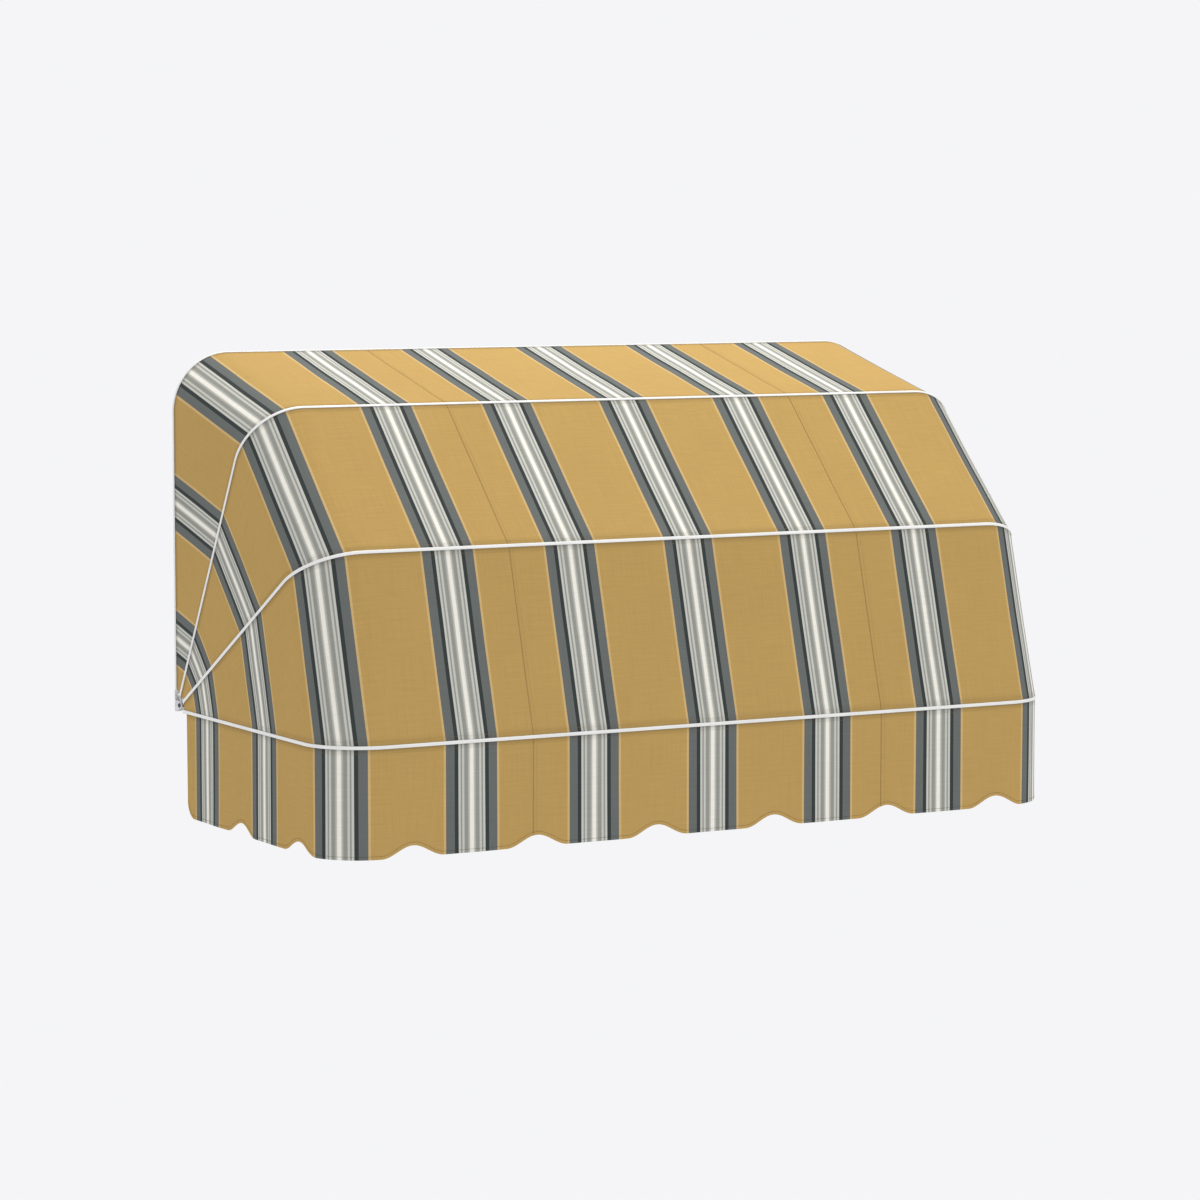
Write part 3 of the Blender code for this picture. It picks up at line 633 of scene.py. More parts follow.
def coated_casting(hinges):
    """White powder coat on sand-cast aluminium: duller than on the rails, and the casting's grain
    and a few grey rubs show through it."""
    made, tree, shader, spot = new_material("white_powder_coated_casting")
    grain = add(tree, NOISE, {"Vector": spot, "Scale": 1000 / 0.9, "Detail": 3.0})
    rub = add(tree, NOISE, {"Vector": spot, "Scale": 1000 / 11, "Detail": 4.0})
    dull = [c * 0.72 for c in hinges.casting]
    share = add(tree, RANGE, (rub, 0.48, 0.74))
    feed(shader, {
        "Base Color": add(tree, MIX, {0: share, 6: hinges.casting, 7: dull}, **TONES),
        "Normal": add(tree, BUMP, {"Height": grain, "Strength": 0.35, "Distance": 0.0002}),
        "Roughness": add(tree, RANGE, (rub, 0.3, 0.7, 0.38, 0.55)),
    })
    return made


def plated_steel(name, tone, low, high):
    """Electroplated steel: cloudy crystals a few millimetres across and a soft metal shine."""
    made, tree, shader, spot = new_material(name)
    crystal = {"Vector": spot, "Scale": 1000 / 2.2}
    cells = add(tree, "ShaderNodeTexVoronoi", crystal, "Distance", feature="F1")
    share = add(tree, RANGE, (cells, 0.0, 1.0))
    rub = add(tree, NOISE, {"Vector": spot, "Scale": 1000 / 5, "Detail": 4.0})
    dull = [c * 0.8 for c in tone]
    feed(shader, {
        "Base Color": add(tree, MIX, {0: share, 6: tone, 7: dull}, **TONES),
        "Metallic": 1.0,
        "Roughness": add(tree, RANGE, (rub, 0.3, 0.7, low, high)),
    })
    return made


def moulded_nylon(hinges):
    """Injection-moulded nylon: near black with a low waxy shine."""
    made, tree, shader, spot = new_material("moulded_nylon")
    bloom = add(tree, NOISE, {"Vector": spot, "Scale": 1000 / 1.5, "Detail": 2.0})
    light = [c * 1.5 for c in hinges.nylon]
    toned = add(tree, MIX, {0: bloom, 6: hinges.nylon, 7: light}, **TONES)
    feed(shader, {"Base Color": toned, "Roughness": 0.45})
    return made


def dress(obj, look):
    obj.data.materials.clear()
    obj.data.materials.append(look)


def new_tree(name, inputs):
    """An empty geometry tree with named inputs, given as (name, socket type)."""
    tree = bpy.data.node_groups.new(name, "GeometryNodeTree")
    tree.interface.new_socket("Geometry", in_out="INPUT", socket_type="NodeSocketGeometry")
    for word, kind in inputs:
        tree.interface.new_socket(word, in_out="INPUT", socket_type=kind)
    tree.interface.new_socket("Geometry", in_out="OUTPUT", socket_type="NodeSocketGeometry")
    return tree, tree.nodes.new("NodeGroupInput").outputs


def close_tree(tree, geometry, look):
    """Ends a tree: copies are made real, then given their material."""
    real = add(tree, "GeometryNodeRealizeInstances", [geometry])
    final = add(tree, "GeometryNodeSetMaterial", {"Geometry": real, "Material": look})
    add(tree, "NodeGroupOutput", [final])


def plain_mesh(obj):
    """The mesh of an object after its modifiers."""
    bpy.context.view_layer.update()
    graph = bpy.context.evaluated_depsgraph_get()
    return bpy.data.meshes.new_from_object(obj.evaluated_get(graph))


def grown(obj, tree, values):
    """The plain mesh that a tree makes of an object, which is then removed."""
    step = obj.modifiers.new(tree.name, "NODES")
    step.node_group = tree
    for item in tree.interface.items_tree:
        if item.in_out == "INPUT" and item.name in values:
            step[item.identifier] = values[item.name]
    mesh = plain_mesh(obj)
    bpy.data.objects.remove(obj)
    return mesh


def rail_section(rails, cloth):
    """Outline of a rail as (u, d): a crowned cap, two bead channels and a rounded back."""
    half = rails.width / 2
    centre, radius = channel(rails, cloth)
    cap_half = centre[0] + rails.overhang
    lip_d = rails.cap + cloth.thickness + 0.0007
    back = 0.0009
    quarter = math.pi / 2
    last = math.tau - math.acos((centre[1] - lip_d) / radius)
    side = arc((0.0, rails.edge), (cap_half, rails.crown + rails.edge), -quarter, 0.0, 8)
    side += [(cap_half, rails.cap - 0.0003), (cap_half - 0.0003, rails.cap)]
    side += arc(centre, (radius, radius), -quarter, -quarter - last, 12)[1:]
    side += [(half - 0.0002, lip_d), (half, lip_d + 0.0002)]
    side += arc((half - back, rails.depth - back), (back, back), 0.0, quarter, 3)
    return side + [(-u, d) for u, d in reversed(side[1:])]


def chamber_section(rails, cloth):
    """Outline of the hollow behind a rail's bead channels, as (u, d)."""
    half = rails.width / 2 - rails.wall
    top = rails.cap + cloth.bead + 0.0006 + rails.wall
    bottom = rails.depth - rails.wall
    return [(-half, top), (half, top), (half, bottom), (-half, bottom)]


def bent_rail_tree(look):
    """Sweeps a section along a hoop with two bent corners, then stands it at its slope."""
    inputs = [(word, "NodeSocketFloat") for word in ("Width", "Reach", "Arm Start", "Corner Radius")]
    inputs += [("Corner Steps", "NodeSocketInt"), ("Slope", "NodeSocketFloat")]
    tree, given = new_tree("bent_rail", [*inputs, ("Hinge", "NodeSocketVector")])
    half = add(tree, MATH, (given["Width"], 0.5), operation="MULTIPLY")
    minus = add(tree, MATH, (half, -1.0), operation="MULTIPLY")
    corners = {}
    ends = ((minus, "Arm Start"), (minus, "Reach"), (half, "Reach"), (half, "Arm Start"))
    for number, (x, r) in enumerate(ends, 1):
        corners[f"Point {number}"] = add(tree, "ShaderNodeCombineXYZ", (x, given[r]))
    path = add(tree, "GeometryNodeCurvePrimitiveQuadrilateral", corners, mode="POINTS")
    path = add(tree, "GeometryNodeSetSplineCyclic", {0: path, "Cyclic": False})
    bend = {"Curve": path, "Radius": given["Corner Radius"], "Count": given["Corner Steps"]}
    path = add(tree, "GeometryNodeFilletCurve", bend, mode="POLY")
    upright = {"Curve": path, "Normal": (0.0, 0.0, 1.0)}
    path = add(tree, "GeometryNodeSetCurveNormal", upright, mode="FREE")
    section = add(tree, "GeometryNodeMeshToCurve", [given["Geometry"]])
    rail = add(tree, "GeometryNodeCurveToMesh", {"Curve": path, "Profile Curve": section})
    turn = add(tree, "ShaderNodeCombineXYZ", [given["Slope"]])
    stand = {"Geometry": rail, "Translation": given["Hinge"], "Rotation": turn}
    close_tree(tree, add(tree, "GeometryNodeTransform", stand), look)
    return tree


def bent_rail(name, hoop, rails, cloth, tree):
    """One hoop, swept by the tree and closed at the ends of its arms."""
    points = []
    edges = []
    for outline in (rail_section(rails, cloth), chamber_section(rails, cloth)):
        first, count = len(points), len(outline)
        points += [(-(hoop.offset + u), d, 0.0) for u, d in outline]
        edges += [(first + i, first + (i + 1) % count) for i in range(count)]
    mesh = bpy.data.meshes.new(name)
    mesh.from_pydata(points, edges, [])
    values = {
        "Width": 2 * HALF_WIDTH,
        "Reach": hoop.reach,
        "Arm Start": hoop.start,
        "Corner Radius": rails.corner,
        "Corner Steps": rails.corner_steps,
        "Slope": math.pi - hoop.angle,
        "Hinge": tuple(HINGE),
    }
    mesh = grown(placed(name, mesh), tree, values)
    shell = bmesh.new()
    shell.from_mesh(mesh)
    bmesh.ops.remove_doubles(shell, verts=shell.verts, dist=0.00001)
    rim = [edge for edge in shell.edges if edge.is_boundary]
    for side, _ in SIDES:
        loop = [edge for edge in rim if edge.verts[0].co.x * side > 0]
        bmesh.ops.triangle_fill(shell, edges=loop, use_beauty=True)
    if any(edge.is_boundary for edge in shell.edges):
        raise RuntimeError(f"{name} isn't closed at the ends of its arms")
    shell.to_mesh(mesh)
    shell.free()
    return mesh


def drill(obj, centres, radius, low, high):
    """Cuts round holes through an object along Y."""
    cutter = bmesh.new()
    size = {"radius1": radius, "radius2": radius, "depth": high - low, "segments": 24}
    for x, z in centres:
        spot = Matrix.Translation((x, (low + high) / 2, z)) @ Matrix.Rotation(math.pi / 2, 4, "X")
        bmesh.ops.create_cone(cutter, cap_ends=True, matrix=spot, **size)
    mesh = bpy.data.meshes.new("screw_holes")
    cutter.to_mesh(mesh)
    cutter.free()
    helper = placed("screw_holes", mesh)
    step = obj.modifiers.new("screw_holes", "BOOLEAN")
    step.operation = "DIFFERENCE"
    step.solver = "EXACT"
    step.object = helper
    made = plain_mesh(obj)
    obj.modifiers.clear()
    obj.data = made
    bpy.data.objects.remove(helper)


class AWNING_OT_bend_rails(bpy.types.Operator):
    """Sweep the wall hoop and the three bows and drill the wall hoop's screw holes"""

    bl_idname = "awning.bend_rails"
    bl_label = "Bend rails"

    def execute(self, context):
        rails, cloth = context.scene.awning_rails, context.scene.awning_cloth
        look = powder_coat(rails)
        tree = bent_rail_tree(look)
        hoops = (WALL, UPPER, MIDDLE, FRONT)
        for hoop, (body, name) in zip(hoops, RAILS.items()):
            node = name.removesuffix("_rail")
            obj = finished(name, bent_rail(name, hoop, rails, cloth, tree))
            if node == "wall_hoop":
                middle = rails.depth / 2 + rails.cap
                top = HINGE.z + hoop.reach - middle
                first = -rails.hole_spacing * (rails.hole_count - 1) / 2
                centres = [(first + rails.hole_spacing * i, top) for i in range(rails.hole_count)]
                spring = HINGE.z + FRONT.offset
                for side, _ in SIDES:
                    centres.append((side * (HALF_WIDTH - middle), spring + rails.arm_hole))
                drill(obj, centres, rails.screw_hole / 2, -2 * rails.width, rails.width)
            dress(obj, look)
            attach(obj, body)
            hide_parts(node)
        return {"FINISHED"}


def panel_mesh(name, panel):
    """The cloth of a panel as one closed sheet with a bead along both edges."""
    cloth = panel.cloth
    q = columns(panel.end, cloth.step, seam_columns(cloth))
    rows = 40
    even = np.linspace(0, 1, rows)
    t = even - 0.045 * np.sin(math.tau * even)  # closer together towards the rails
    grid_q, grid_t = np.meshgrid(q, t, indexing="ij")
    outer = panel.surface(grid_q, grid_t)
    inner = panel.surface(grid_q, grid_t, -cloth.thickness)
    edge = bead_section(panel.rails, cloth)
    inside = np.array(edge[1:-1])
    beads = []
    for which, hoop, side in ((1, panel.low, 1), (0, panel.high, -1)):
        s = panel.along(q, which)[:, None]
        run = inside if which else inside[::-1]
        beads.append(on_rail(hoop, panel.corner, s, side * run[None, :, 0], run[None, :, 1]))
    rings = np.concatenate([outer, beads[0], inner[:, ::-1], beads[1]], axis=1)
    # A bead runs from the outer face to the inner at the rail below, and back at the one above.
    flat_t = np.concatenate([t, np.ones(len(inside)), t[::-1], np.zeros(len(inside))])
    shares = np.broadcast_to(flat_t[None], (len(q), len(flat_t)))
    span = panel.span(q)
    s = panel.along(q, 0)[:, None] * (1 - shares) + panel.along(q, 1)[:, None] * shares
    maps = np.stack([stripe_place(cloth, s), panel.phase + span[:, None] * shares], axis=-1)
    area = float(np.trapz(span, q))
    return loft(name, rings, maps, shares, len(t), len(inside)), area


def hem_drop(s, cloth, end):
    """Drop of the valance's scalloped edge at s."""
    drop = np.full_like(s, cloth.drop)
    free = end - cloth.free_corner - cloth.scallop_half
    first = math.ceil((-free - cloth.scallop_place) / cloth.scallop_pitch)
    last = math.floor((free - cloth.scallop_place) / cloth.scallop_pitch)
    for notch in range(first, last + 1):
        share = (s - cloth.scallop_place - notch * cloth.scallop_pitch) / cloth.scallop_half
        rise = cloth.scallop_depth * (1 + np.cos(math.pi * share)) / 2
        drop = np.where(np.abs(share) < 1, cloth.drop - rise, drop)
    inside = np.clip((np.abs(s) - end + cloth.free_corner) / cloth.free_corner, 0, 1)
    return drop - cloth.free_corner * (1 - np.sqrt(1 - inside**2))


class Valance:
    """Cloth hanging from the lower channel of the front bow, round its three sides. Points are
    given by s along the bow and the drop below the middle of the rail."""

    def __init__(self, rails, cloth):
        self.rails, self.cloth = rails, cloth
        self.corner = rails.corner
        self.end = arm_end(FRONT, rails.corner, cloth.valance_end)
        self.out_u, self.out_d = bead_section(rails, cloth)[0]

    def surface(self, s, drop, height=0.0):
        depth = (drop - self.out_u) / self.cloth.drop
        lean = np.clip(depth, 0, 1) ** 1.4
        folds = ((0.6, 0.41, 0.9), (0.3, 0.23, 2.0 + 2 * depth), (0.2, 0.137, 4.0))
        wave = self.cloth.wave * lean * waves(s, folds)
        near = np.clip(drop - self.out_u, 0, None)
        pucker = sewn_edge(near, 0.025) * ripple(s, 1.3)
        hem = np.exp(-np.abs(hem_drop(s, self.cloth, self.end) - drop) / 0.014) * ripple(s, 4.1)
        lap = lap_height(self.cloth, s) * smooth_step(near / 0.005)
        total = wave + self.cloth.pucker * (pucker + 0.6 * hem) + lap + height
        return on_rail(FRONT, self.corner, s, -drop, self.out_d - total)


def hem_steepness(valance, s):
    """Length of the hem for each metre along the bow, held where it turns up at the ends."""
    end = valance.end
    ahead = hem_drop(np.clip(s + NUDGE, -end, end), valance.cloth, end)
    behind = hem_drop(np.clip(s - NUDGE, -end, end), valance.cloth, end)
    return np.clip(np.sqrt(1 + ((ahead - behind) / (2 * NUDGE)) ** 2), 1, 3)


def valance_mesh(name, valance):
    """The valance as one closed sheet with a bead at the top and a doubled hem."""
    cloth, end = valance.cloth, valance.end
    turns = np.linspace(0, math.pi / 2, 14)
    extra = [end - cloth.free_corner * (1 - math.cos(turn)) for turn in turns[1:]]
    s = columns(end, cloth.step * 0.9, seam_columns(cloth) + extra)
    fold = cloth.hem
    # Mesh lines near the hem, closer together where the cloth is folded back on itself.
    near_hem = np.array([fold + 0.010, fold + 0.005, fold + 0.0016, fold + 0.0002, fold - 0.0012])
    near_hem = np.concatenate([near_hem, [fold * 0.6, fold * 0.3, 0.0008, 0.0]])
    hem = hem_drop(s, cloth, end)
    steep = hem_steepness(valance, s)
    top = valance.out_u
    rows = 30
    even = np.linspace(0, 1, rows, endpoint=False)
    last = hem - near_hem[0] * steep
    upper = top + (last - top)[:, None] * even[None]
    lower = hem[:, None] - near_hem[None] * steep[:, None]
    drops = np.concatenate([upper, lower], axis=1)
    grid_s = np.broadcast_to(s[:, None], drops.shape)
    doubled = np.concatenate([np.zeros(rows), smooth_step((fold + 0.0004 - near_hem) / 0.001)])
    rounded = np.concatenate([np.zeros(rows + len(near_hem) - 1), [1.0]])
    drawn_in = 0.0004 * rounded  # each face, at the very edge
    outer = valance.surface(grid_s, drops, -drawn_in[None])
    thick = cloth.thickness * (1 + doubled) - 2 * drawn_in
    inner = valance.surface(grid_s, drops, -thick[None])
    edge = np.array(bead_section(valance.rails, cloth)[1:-1])[::-1]
    flat_s = s[:, None]
    bead = on_rail(FRONT, valance.corner, flat_s, -edge[None, :, 0], edge[None, :, 1])
    rings = np.concatenate([outer, inner[:, ::-1], bead], axis=1)
    fall = np.concatenate([drops, drops[:, ::-1], np.full((len(s), len(edge)), top)], axis=1)
    pattern = stripe_place(cloth, flat_s)
    maps = np.stack([np.broadcast_to(pattern, fall.shape), fall - top], axis=-1)
    area = float(np.trapz(hem - top, s))
    return loft(name, rings, maps, np.zeros(fall.shape), drops.shape[1], 0), area


def blend_by_share(obj):
    """Bakes the piece's placement into its mesh. Each point's share between the rails is read but not
    used."""
    shares = np.empty(len(obj.data.vertices), np.float32)
    obj.data.attributes[SHARE].data.foreach_get("value", shares)
    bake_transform(obj)


PANELS = (
    ("rear_canopy", "rear_panel", WALL, UPPER, "wall_frame", "upper", 1.0),
    ("middle_canopy", "middle_panel", UPPER, MIDDLE, "upper", "middle", 2.0),
    ("front_canopy", "front_panel", MIDDLE, FRONT, "middle", "front", 3.0),
)


class AWNING_OT_stretch_canopy(bpy.types.Operator):
    """Stretch the three striped canopy panels between the rails, with their sewn seams"""

    bl_idname = "awning.stretch_canopy"
    bl_label = "Stretch canopy"

    def execute(self, context):
        rails, cloth = context.scene.awning_rails, context.scene.awning_cloth
        look = woven_acrylic(cloth)
        tree = stitch_tree(sewing_thread("bonded_polyester_thread", cloth.seam_thread))
        for name, node, high, low, above, below, phase in PANELS:
            panel = Panel(rails, cloth, high, low, phase)
            obj, area = panel_mesh(name, panel)
            dress(obj, look)
            blend_by_share(obj)
            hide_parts(node)
            stitches = sew(f"{name}_stitches", panel_lines(panel), cloth, cloth.thread, tree)
            blend_by_share(stitches)
            flat = (2 * panel.end, float(panel.span(np.zeros(1))[0]))
        return {"FINISHED"}


class AWNING_OT_hang_valance(bpy.types.Operator):
    """Hang the scalloped valance from the front bow, with its folded and stitched hem"""

    bl_idname = "awning.hang_valance"
    bl_label = "Hang valance"

    def execute(self, context):
        rails, cloth = context.scene.awning_rails, context.scene.awning_cloth
        valance = Valance(rails, cloth)
        obj, area = valance_mesh("scalloped_valance", valance)
        dress(obj, bpy.data.materials["woven_acrylic_canvas"])
        tree = stitch_tree(bpy.data.materials["bonded_polyester_thread"])
        rows = valance_rows(valance)
        stitches = sew("scalloped_valance_stitches", rows, cloth, cloth.thread, tree)
        tree = stitch_tree(sewing_thread("waxed_hem_thread", cloth.hem_thread))
        hem = sew("scalloped_hem_stitches", [hem_line(valance)], cloth, cloth.hem_cord, tree)
        for piece in (obj, stitches, hem):
            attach(piece, "front")
            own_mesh(piece)
        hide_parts("valance")
        return {"FINISHED"}


def panel_lines(panel):
    """Lines of stitching on a panel, as (points, outward directions, shares)."""
    cloth = panel.cloth
    lines = []
    q = np.arange(-panel.end + 0.012, panel.end - 0.012, 0.006)
    q = q[panel.span(q) > 4 * SEWN_ROW]
    share = SEWN_ROW / panel.span(q)
    for t in (share, 1 - share):
        lines.append((panel.surface(q, t, STAND_OFF), panel.outwards(q, t), t))
    for row in seam_rows(cloth):
        t = np.linspace(0, 1, 80)
        q = np.full(len(t), row)
        near = np.minimum(t, 1 - t) * panel.span(q)
        t = t[near > 0.005]
        q = q[: len(t)]
        lines.append((panel.surface(q, t, STAND_OFF), panel.outwards(q, t), t))
    return lines


def hem_line(valance):
    """The row of stitches that holds the folded hem, round the scallops and both free corners."""
    cloth = valance.cloth
    turn = np.linspace(0, math.pi / 2, 40)
    inset = cloth.hem - 0.0017  # just inside the edge of the folded cloth
    reach = valance.end - cloth.free_corner
    radius = cloth.free_corner - inset
    s = np.concatenate([
        -reach - radius * np.sin(turn[::-1]),
        np.arange(-reach + 0.004, reach, 0.004),
        reach + radius * np.sin(turn),
    ])
    whole = hem_drop(np.clip(s, -reach, reach), cloth, valance.end)
    steep = hem_steepness(valance, np.clip(s, -reach, reach))
    drop = whole - inset * steep
    over = np.abs(s) > reach
    bent = np.clip((np.abs(s) - reach) / radius, 0, 1)
    drop = np.where(over, whole - cloth.free_corner + radius * np.sqrt(1 - bent**2), drop)
    return valance_line(valance, s, drop)


def valance_rows(valance):
    """The row below the rail and the rows of the seams, as for a panel."""
    cloth = valance.cloth
    s = np.arange(-valance.end + 0.006, valance.end - 0.006, 0.006)
    lines = [valance_line(valance, s, np.full(len(s), valance.out_u + SEWN_ROW))]
    for row in seam_rows(cloth):
        end = float(hem_drop(np.array([row]), cloth, valance.end)[0]) - cloth.hem
        drop = np.linspace(valance.out_u + 0.004, end, 60)
        lines.append(valance_line(valance, np.full(len(drop), row), drop))
    return lines


def seam_rows(cloth):
    """Places of the two rows of stitches in each seam's lap."""
    inset = 0.0022
    across = (inset, cloth.lap - inset)
    return [start + offset for start in seam_starts(cloth) for offset in across]


def valance_line(valance, s, drop):
    """A line of stitching on the valance, whose outward direction is level."""
    out = on_rail(FRONT, valance.corner, s, 0.0, 0.0) - on_rail(FRONT, valance.corner, s, 0.0, 1.0)
    return valance.surface(s, drop, STAND_OFF), out, np.zeros(len(s))


def stitch_tree(look):
    """Threads a row of stitches along each line."""
    words = ("Pitch", "Length", "Thread")
    tree, given = new_tree("stitch_row", [(word, "NodeSocketFloat") for word in words])
    line = add(tree, "GeometryNodeMeshToCurve", [given["Geometry"]])
    pitch = {"Curve": line, "Length": given["Pitch"]}
    row = add(tree, "GeometryNodeResampleCurve", pitch, mode="LENGTH")
    tangent = add(tree, "GeometryNodeInputTangent")
    up = add(tree, "GeometryNodeInputNamedAttribute", {"Name": UP}, data_type="FLOAT_VECTOR")
    turn = add(tree, "FunctionNodeAlignRotationToVector", {"Vector": tangent}, axis="X")
    lie = {"Rotation": turn, "Vector": up}
    turn = add(tree, "FunctionNodeAlignRotationToVector", lie, axis="Z", pivot_axis="X")
    ball = add(tree, "GeometryNodeMeshUVSphere", {"Segments": 6, "Rings": 4, "Radius": 0.5})
    along_x = {"Geometry": ball, "Rotation": (0.0, math.pi / 2, 0.0)}
    stitch = add(tree, "GeometryNodeTransform", along_x)
    size = add(tree, "ShaderNodeCombineXYZ", (given["Length"], given["Thread"], given["Thread"]))
    laid = {"Points": row, "Instance": stitch, "Rotation": turn, "Scale": size}
    close_tree(tree, add(tree, "GeometryNodeInstanceOnPoints", laid), look)
    return tree


def sew(name, lines, cloth, thread, tree):
    """One mesh of all stitches along these lines."""
    points, out, shares = (np.concatenate(parts) for parts in zip(*lines))
    last = set(np.cumsum([len(line[0]) for line in lines]) - 1)
    edges = [(i, i + 1) for i in range(len(points)) if i not in last]
    mesh = bpy.data.meshes.new(name)
    mesh.from_pydata(points.tolist(), edges, [])
    keep_with_points(mesh, UP, out)
    keep_with_points(mesh, SHARE, shares)
    values = {"Pitch": cloth.pitch, "Length": cloth.pitch * 0.84, "Thread": thread}
    made = grown(placed(name, mesh), tree, values)
    made.shade_smooth()
    return placed(name, made)


def softened(node, edge):
    """A copy of a rigid part with rounded edges, which stands for it."""
    mesh = node.data.copy()
    mesh.name = f"{node.name}_cast"
    shell = bmesh.new()
    shell.from_mesh(mesh)
    shell.transform(node.matrix_world)
    bmesh.ops.remove_doubles(shell, verts=shell.verts, dist=0.000005)
    flat = {"verts": shell.verts, "edges": shell.edges}
    bmesh.ops.dissolve_limit(shell, angle_limit=math.radians(1), **flat)
    sharp = [e for e in shell.edges if e.is_manifold and e.calc_face_angle() > math.radians(40)]
    bevel = {"offset": edge, "offset_type": "OFFSET", "segments": 2, "profile": 0.5}
    bmesh.ops.bevel(shell, geom=sharp, affect="EDGES", clamp_overlap=True, **bevel)
    shell.to_mesh(mesh)
    shell.free()
    return finished(mesh.name, mesh, angle=50.0)


class AWNING_OT_fit_hinges(bpy.types.Operator):
    """Round the edges of the brackets, lugs, bolts, nuts, spacers and rivets and finish them"""

    bl_idname = "awning.fit_hinges"
    bl_label = "Fit hinges"

    def execute(self, context):
        hinges = context.scene.awning_hinges
        casting = (coated_casting(hinges), "bracket_casting")
        zinc = (plated_steel("zinc_plated_steel", hinges.zinc, 0.28, 0.44), "zinc_steel")
        oxide = (plated_steel("black_oxide_steel", hinges.oxide, 0.30, 0.45), "bolt_steel")
        nylon = (moulded_nylon(hinges), "spacer_nylon")
        # The number divides the castings' rounding, so the edges of small pieces are finer.
        kinds = (
            ("hinge_bracket", "wall_frame", 1, casting),
            ("upper_lug", "upper", 1, zinc),
            ("middle_lug", "middle", 1, zinc),
            ("front_lug", "front", 1, zinc),
            ("hinge_bolt", "wall_frame", 2, oxide),
            ("hinge_nut", "wall_frame", 2, zinc),
            ("spacer_outer", "wall_frame", 3, nylon),
            ("spacer_inner", "wall_frame", 3, nylon),
            ("rivet_hoop", "wall_frame", 3, zinc),
            ("rivet_upper", "upper", 3, zinc),
            ("rivet_middle", "middle", 3, zinc),
            ("rivet_front", "front", 3, zinc),
        )
        for word, body, finer, (look, slot) in kinds:
            for _, side in SIDES:
                node = frame["nodes"][f"{word}_{side}"]
                obj = softened(node, hinges.edge / finer)
                dress(obj, look)
                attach(obj, body)
                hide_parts(node.name)
        return {"FINISHED"}


def area_lamp(name, spot, aim, size, watts, tint):
    """A round soft lamp at a spot, turned to what it aims at."""
    data = bpy.data.lights.new(name, "AREA")
    data.shape = "DISK"
    data.size = size
    data.energy = watts
    data.color = tint
    lamp = placed(name, data)
    lamp.location = spot
    lamp.rotation_euler = (Vector(aim) - Vector(spot)).to_track_quat("-Z", "Y").to_euler()


def seen_plainly(tree):
    """1 for rays from the camera, a mirror or clear glass, and 0 for light that falls on things."""
    path = add(tree, "ShaderNodeLightPath").node.outputs
    seen = (path["Is Camera Ray"], path["Is Glossy Ray"])
    seen = (add(tree, MATH, seen, operation="MAXIMUM"), path["Is Transmission Ray"])
    return add(tree, MATH, seen, operation="MAXIMUM")


def set_world(stage):
    world = bpy.data.worlds.new("studio")
    bpy.context.scene.world = world
    world.use_nodes = True
    tree = world.node_tree
    tree.nodes.clear()
    lit = add(tree, "ShaderNodeBackground", {"Color": (0.985, 0.99, 1.0), "Strength": stage.sky})
    seen = add(tree, "ShaderNodeBackground", {"Color": stage.backdrop, "Strength": 1.0})
    mix = add(tree, "ShaderNodeMixShader", (seen_plainly(tree), lit, seen))
    add(tree, "ShaderNodeOutputWorld", [mix])


def set_floor(stage):
    """A pale floor that shows in its own colour and keeps a soft shadow."""
    bottom = CAD_BOX[0][2] - stage.drop
    half = 40.0
    corners = ((-half, -half), (half, -half), (half, half), (-half, half))
    mesh = bpy.data.meshes.new("floor")
    mesh.from_pydata([(x, y, bottom) for x, y in corners], [], [(0, 1, 2, 3)])
    look = bpy.data.materials.new("painted_studio_floor")
    look.use_nodes = True
    tree = look.node_tree
    tree.nodes.clear()
    matt = add(tree, "ShaderNodeBsdfDiffuse", {"Color": stage.backdrop})
    plain = add(tree, "ShaderNodeEmission", {"Color": stage.backdrop, "Strength": 1.0})
    # The floor turns into the backdrop with the distance, so there is no horizon.
    spot = add(tree, "ShaderNodeTexCoord", output="Object")
    away = add(tree, "ShaderNodeVectorMath", [spot], "Value", operation="LENGTH")
    far = add(tree, RANGE, (away, 3.0, 9.0, 0.93, 1.0))
    share = add(tree, MATH, (seen_plainly(tree), far), operation="MULTIPLY")
    mix = add(tree, "ShaderNodeMixShader", (share, matt, plain))
    add(tree, "ShaderNodeOutputMaterial", [mix])
    mesh.materials.append(look)
    placed("floor", mesh)


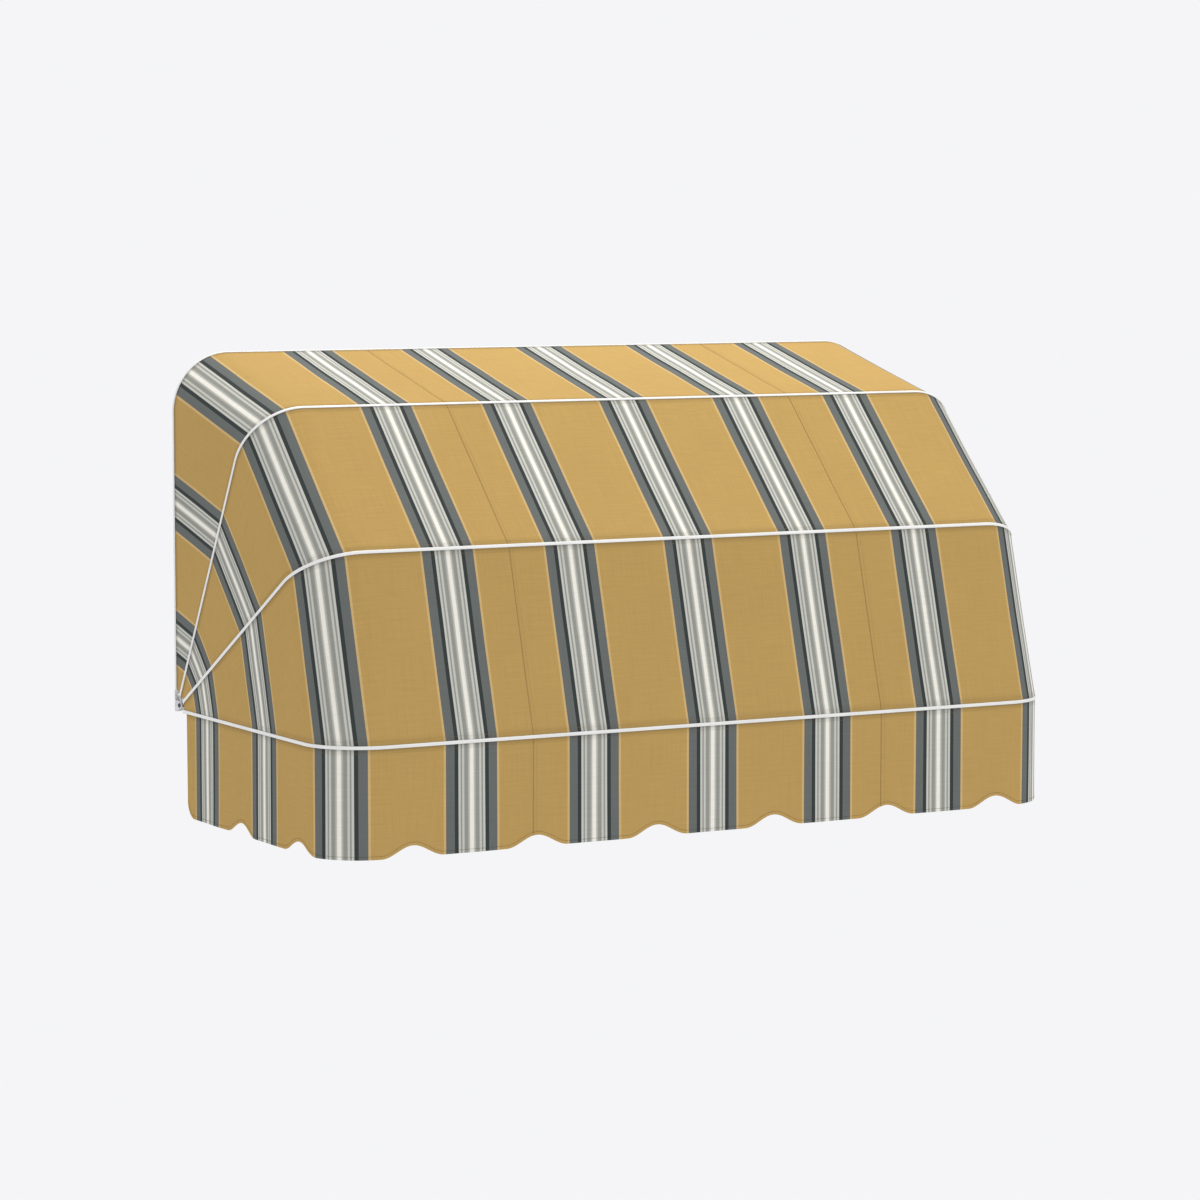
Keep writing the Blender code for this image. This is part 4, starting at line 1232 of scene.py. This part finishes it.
class AWNING_OT_set_stage(bpy.types.Operator):
    """Set the camera, the soft lamps, the even sky and the pale floor"""

    bl_idname = "awning.set_stage"
    bl_label = "Set stage"

    def execute(self, context):
        stage = context.scene.awning_stage
        scene = context.scene
        data = bpy.data.cameras.new("camera")
        data.lens = stage.lens
        data.sensor_width = 36.0
        data.shift_x, data.shift_y = stage.shift
        data.clip_end = 200.0
        camera = placed("camera", data)
        camera.location = stage.place
        camera.rotation_euler = (math.pi / 2 - stage.elevation, 0.0, stage.azimuth)
        scene.camera = camera
        warm = (1.0, 0.975, 0.94)
        area_lamp("key_overhead", (0.6, 1.0, 4.2), (0.0, -0.5, -0.4), 3.5, stage.key, warm)
        less = (1.0, 0.98, 0.95)
        area_lamp("fill_front", (2.5, -5.6, 2.9), (0.0, -0.5, -0.6), 3.0, stage.fill, less)
        set_world(stage)
        set_floor(stage)
        scene.view_settings.view_transform = "Standard"
        return {"FINISHED"}


class AWNING_PT_builder(bpy.types.Panel):
    """Buttons and sizes of the awning"""

    bl_label = "Window awning"
    bl_idname = "AWNING_PT_builder"
    bl_space_type = "VIEW_3D"
    bl_region_type = "UI"
    bl_category = "Awning"

    def draw(self, context):
        for step in OPERATORS:
            self.layout.operator(step.bl_idname)
        for word, group in GROUPS.items():
            box = self.layout.box()
            for key in group.__annotations__:
                box.prop(getattr(context.scene, word), key)


GROUPS = {
    "awning_rails": AwningRailSizes,
    "awning_cloth": AwningClothSizes,
    "awning_hinges": AwningHingeSizes,
    "awning_stage": AwningStageSettings,
}
OPERATORS = (
    AWNING_OT_bend_rails,
    AWNING_OT_stretch_canopy,
    AWNING_OT_hang_valance,
    AWNING_OT_fit_hinges,
    AWNING_OT_set_stage,
)


def register():
    for group in GROUPS.values():
        bpy.utils.register_class(group)
    for word, group in GROUPS.items():
        setattr(bpy.types.Scene, word, bpy.props.PointerProperty(type=group))
    for step in (*OPERATORS, AWNING_PT_builder):
        bpy.utils.register_class(step)


def unregister():
    for step in reversed((*OPERATORS, AWNING_PT_builder)):
        bpy.utils.unregister_class(step)
    for word, group in GROUPS.items():
        delattr(bpy.types.Scene, word)
        bpy.utils.unregister_class(group)


def main():
    register()
    bpy.ops.awning.bend_rails()
    bpy.ops.awning.stretch_canopy()
    bpy.ops.awning.hang_valance()
    bpy.ops.awning.fit_hinges()
    bpy.ops.awning.set_stage()


if __name__ == "__main__":
    main()
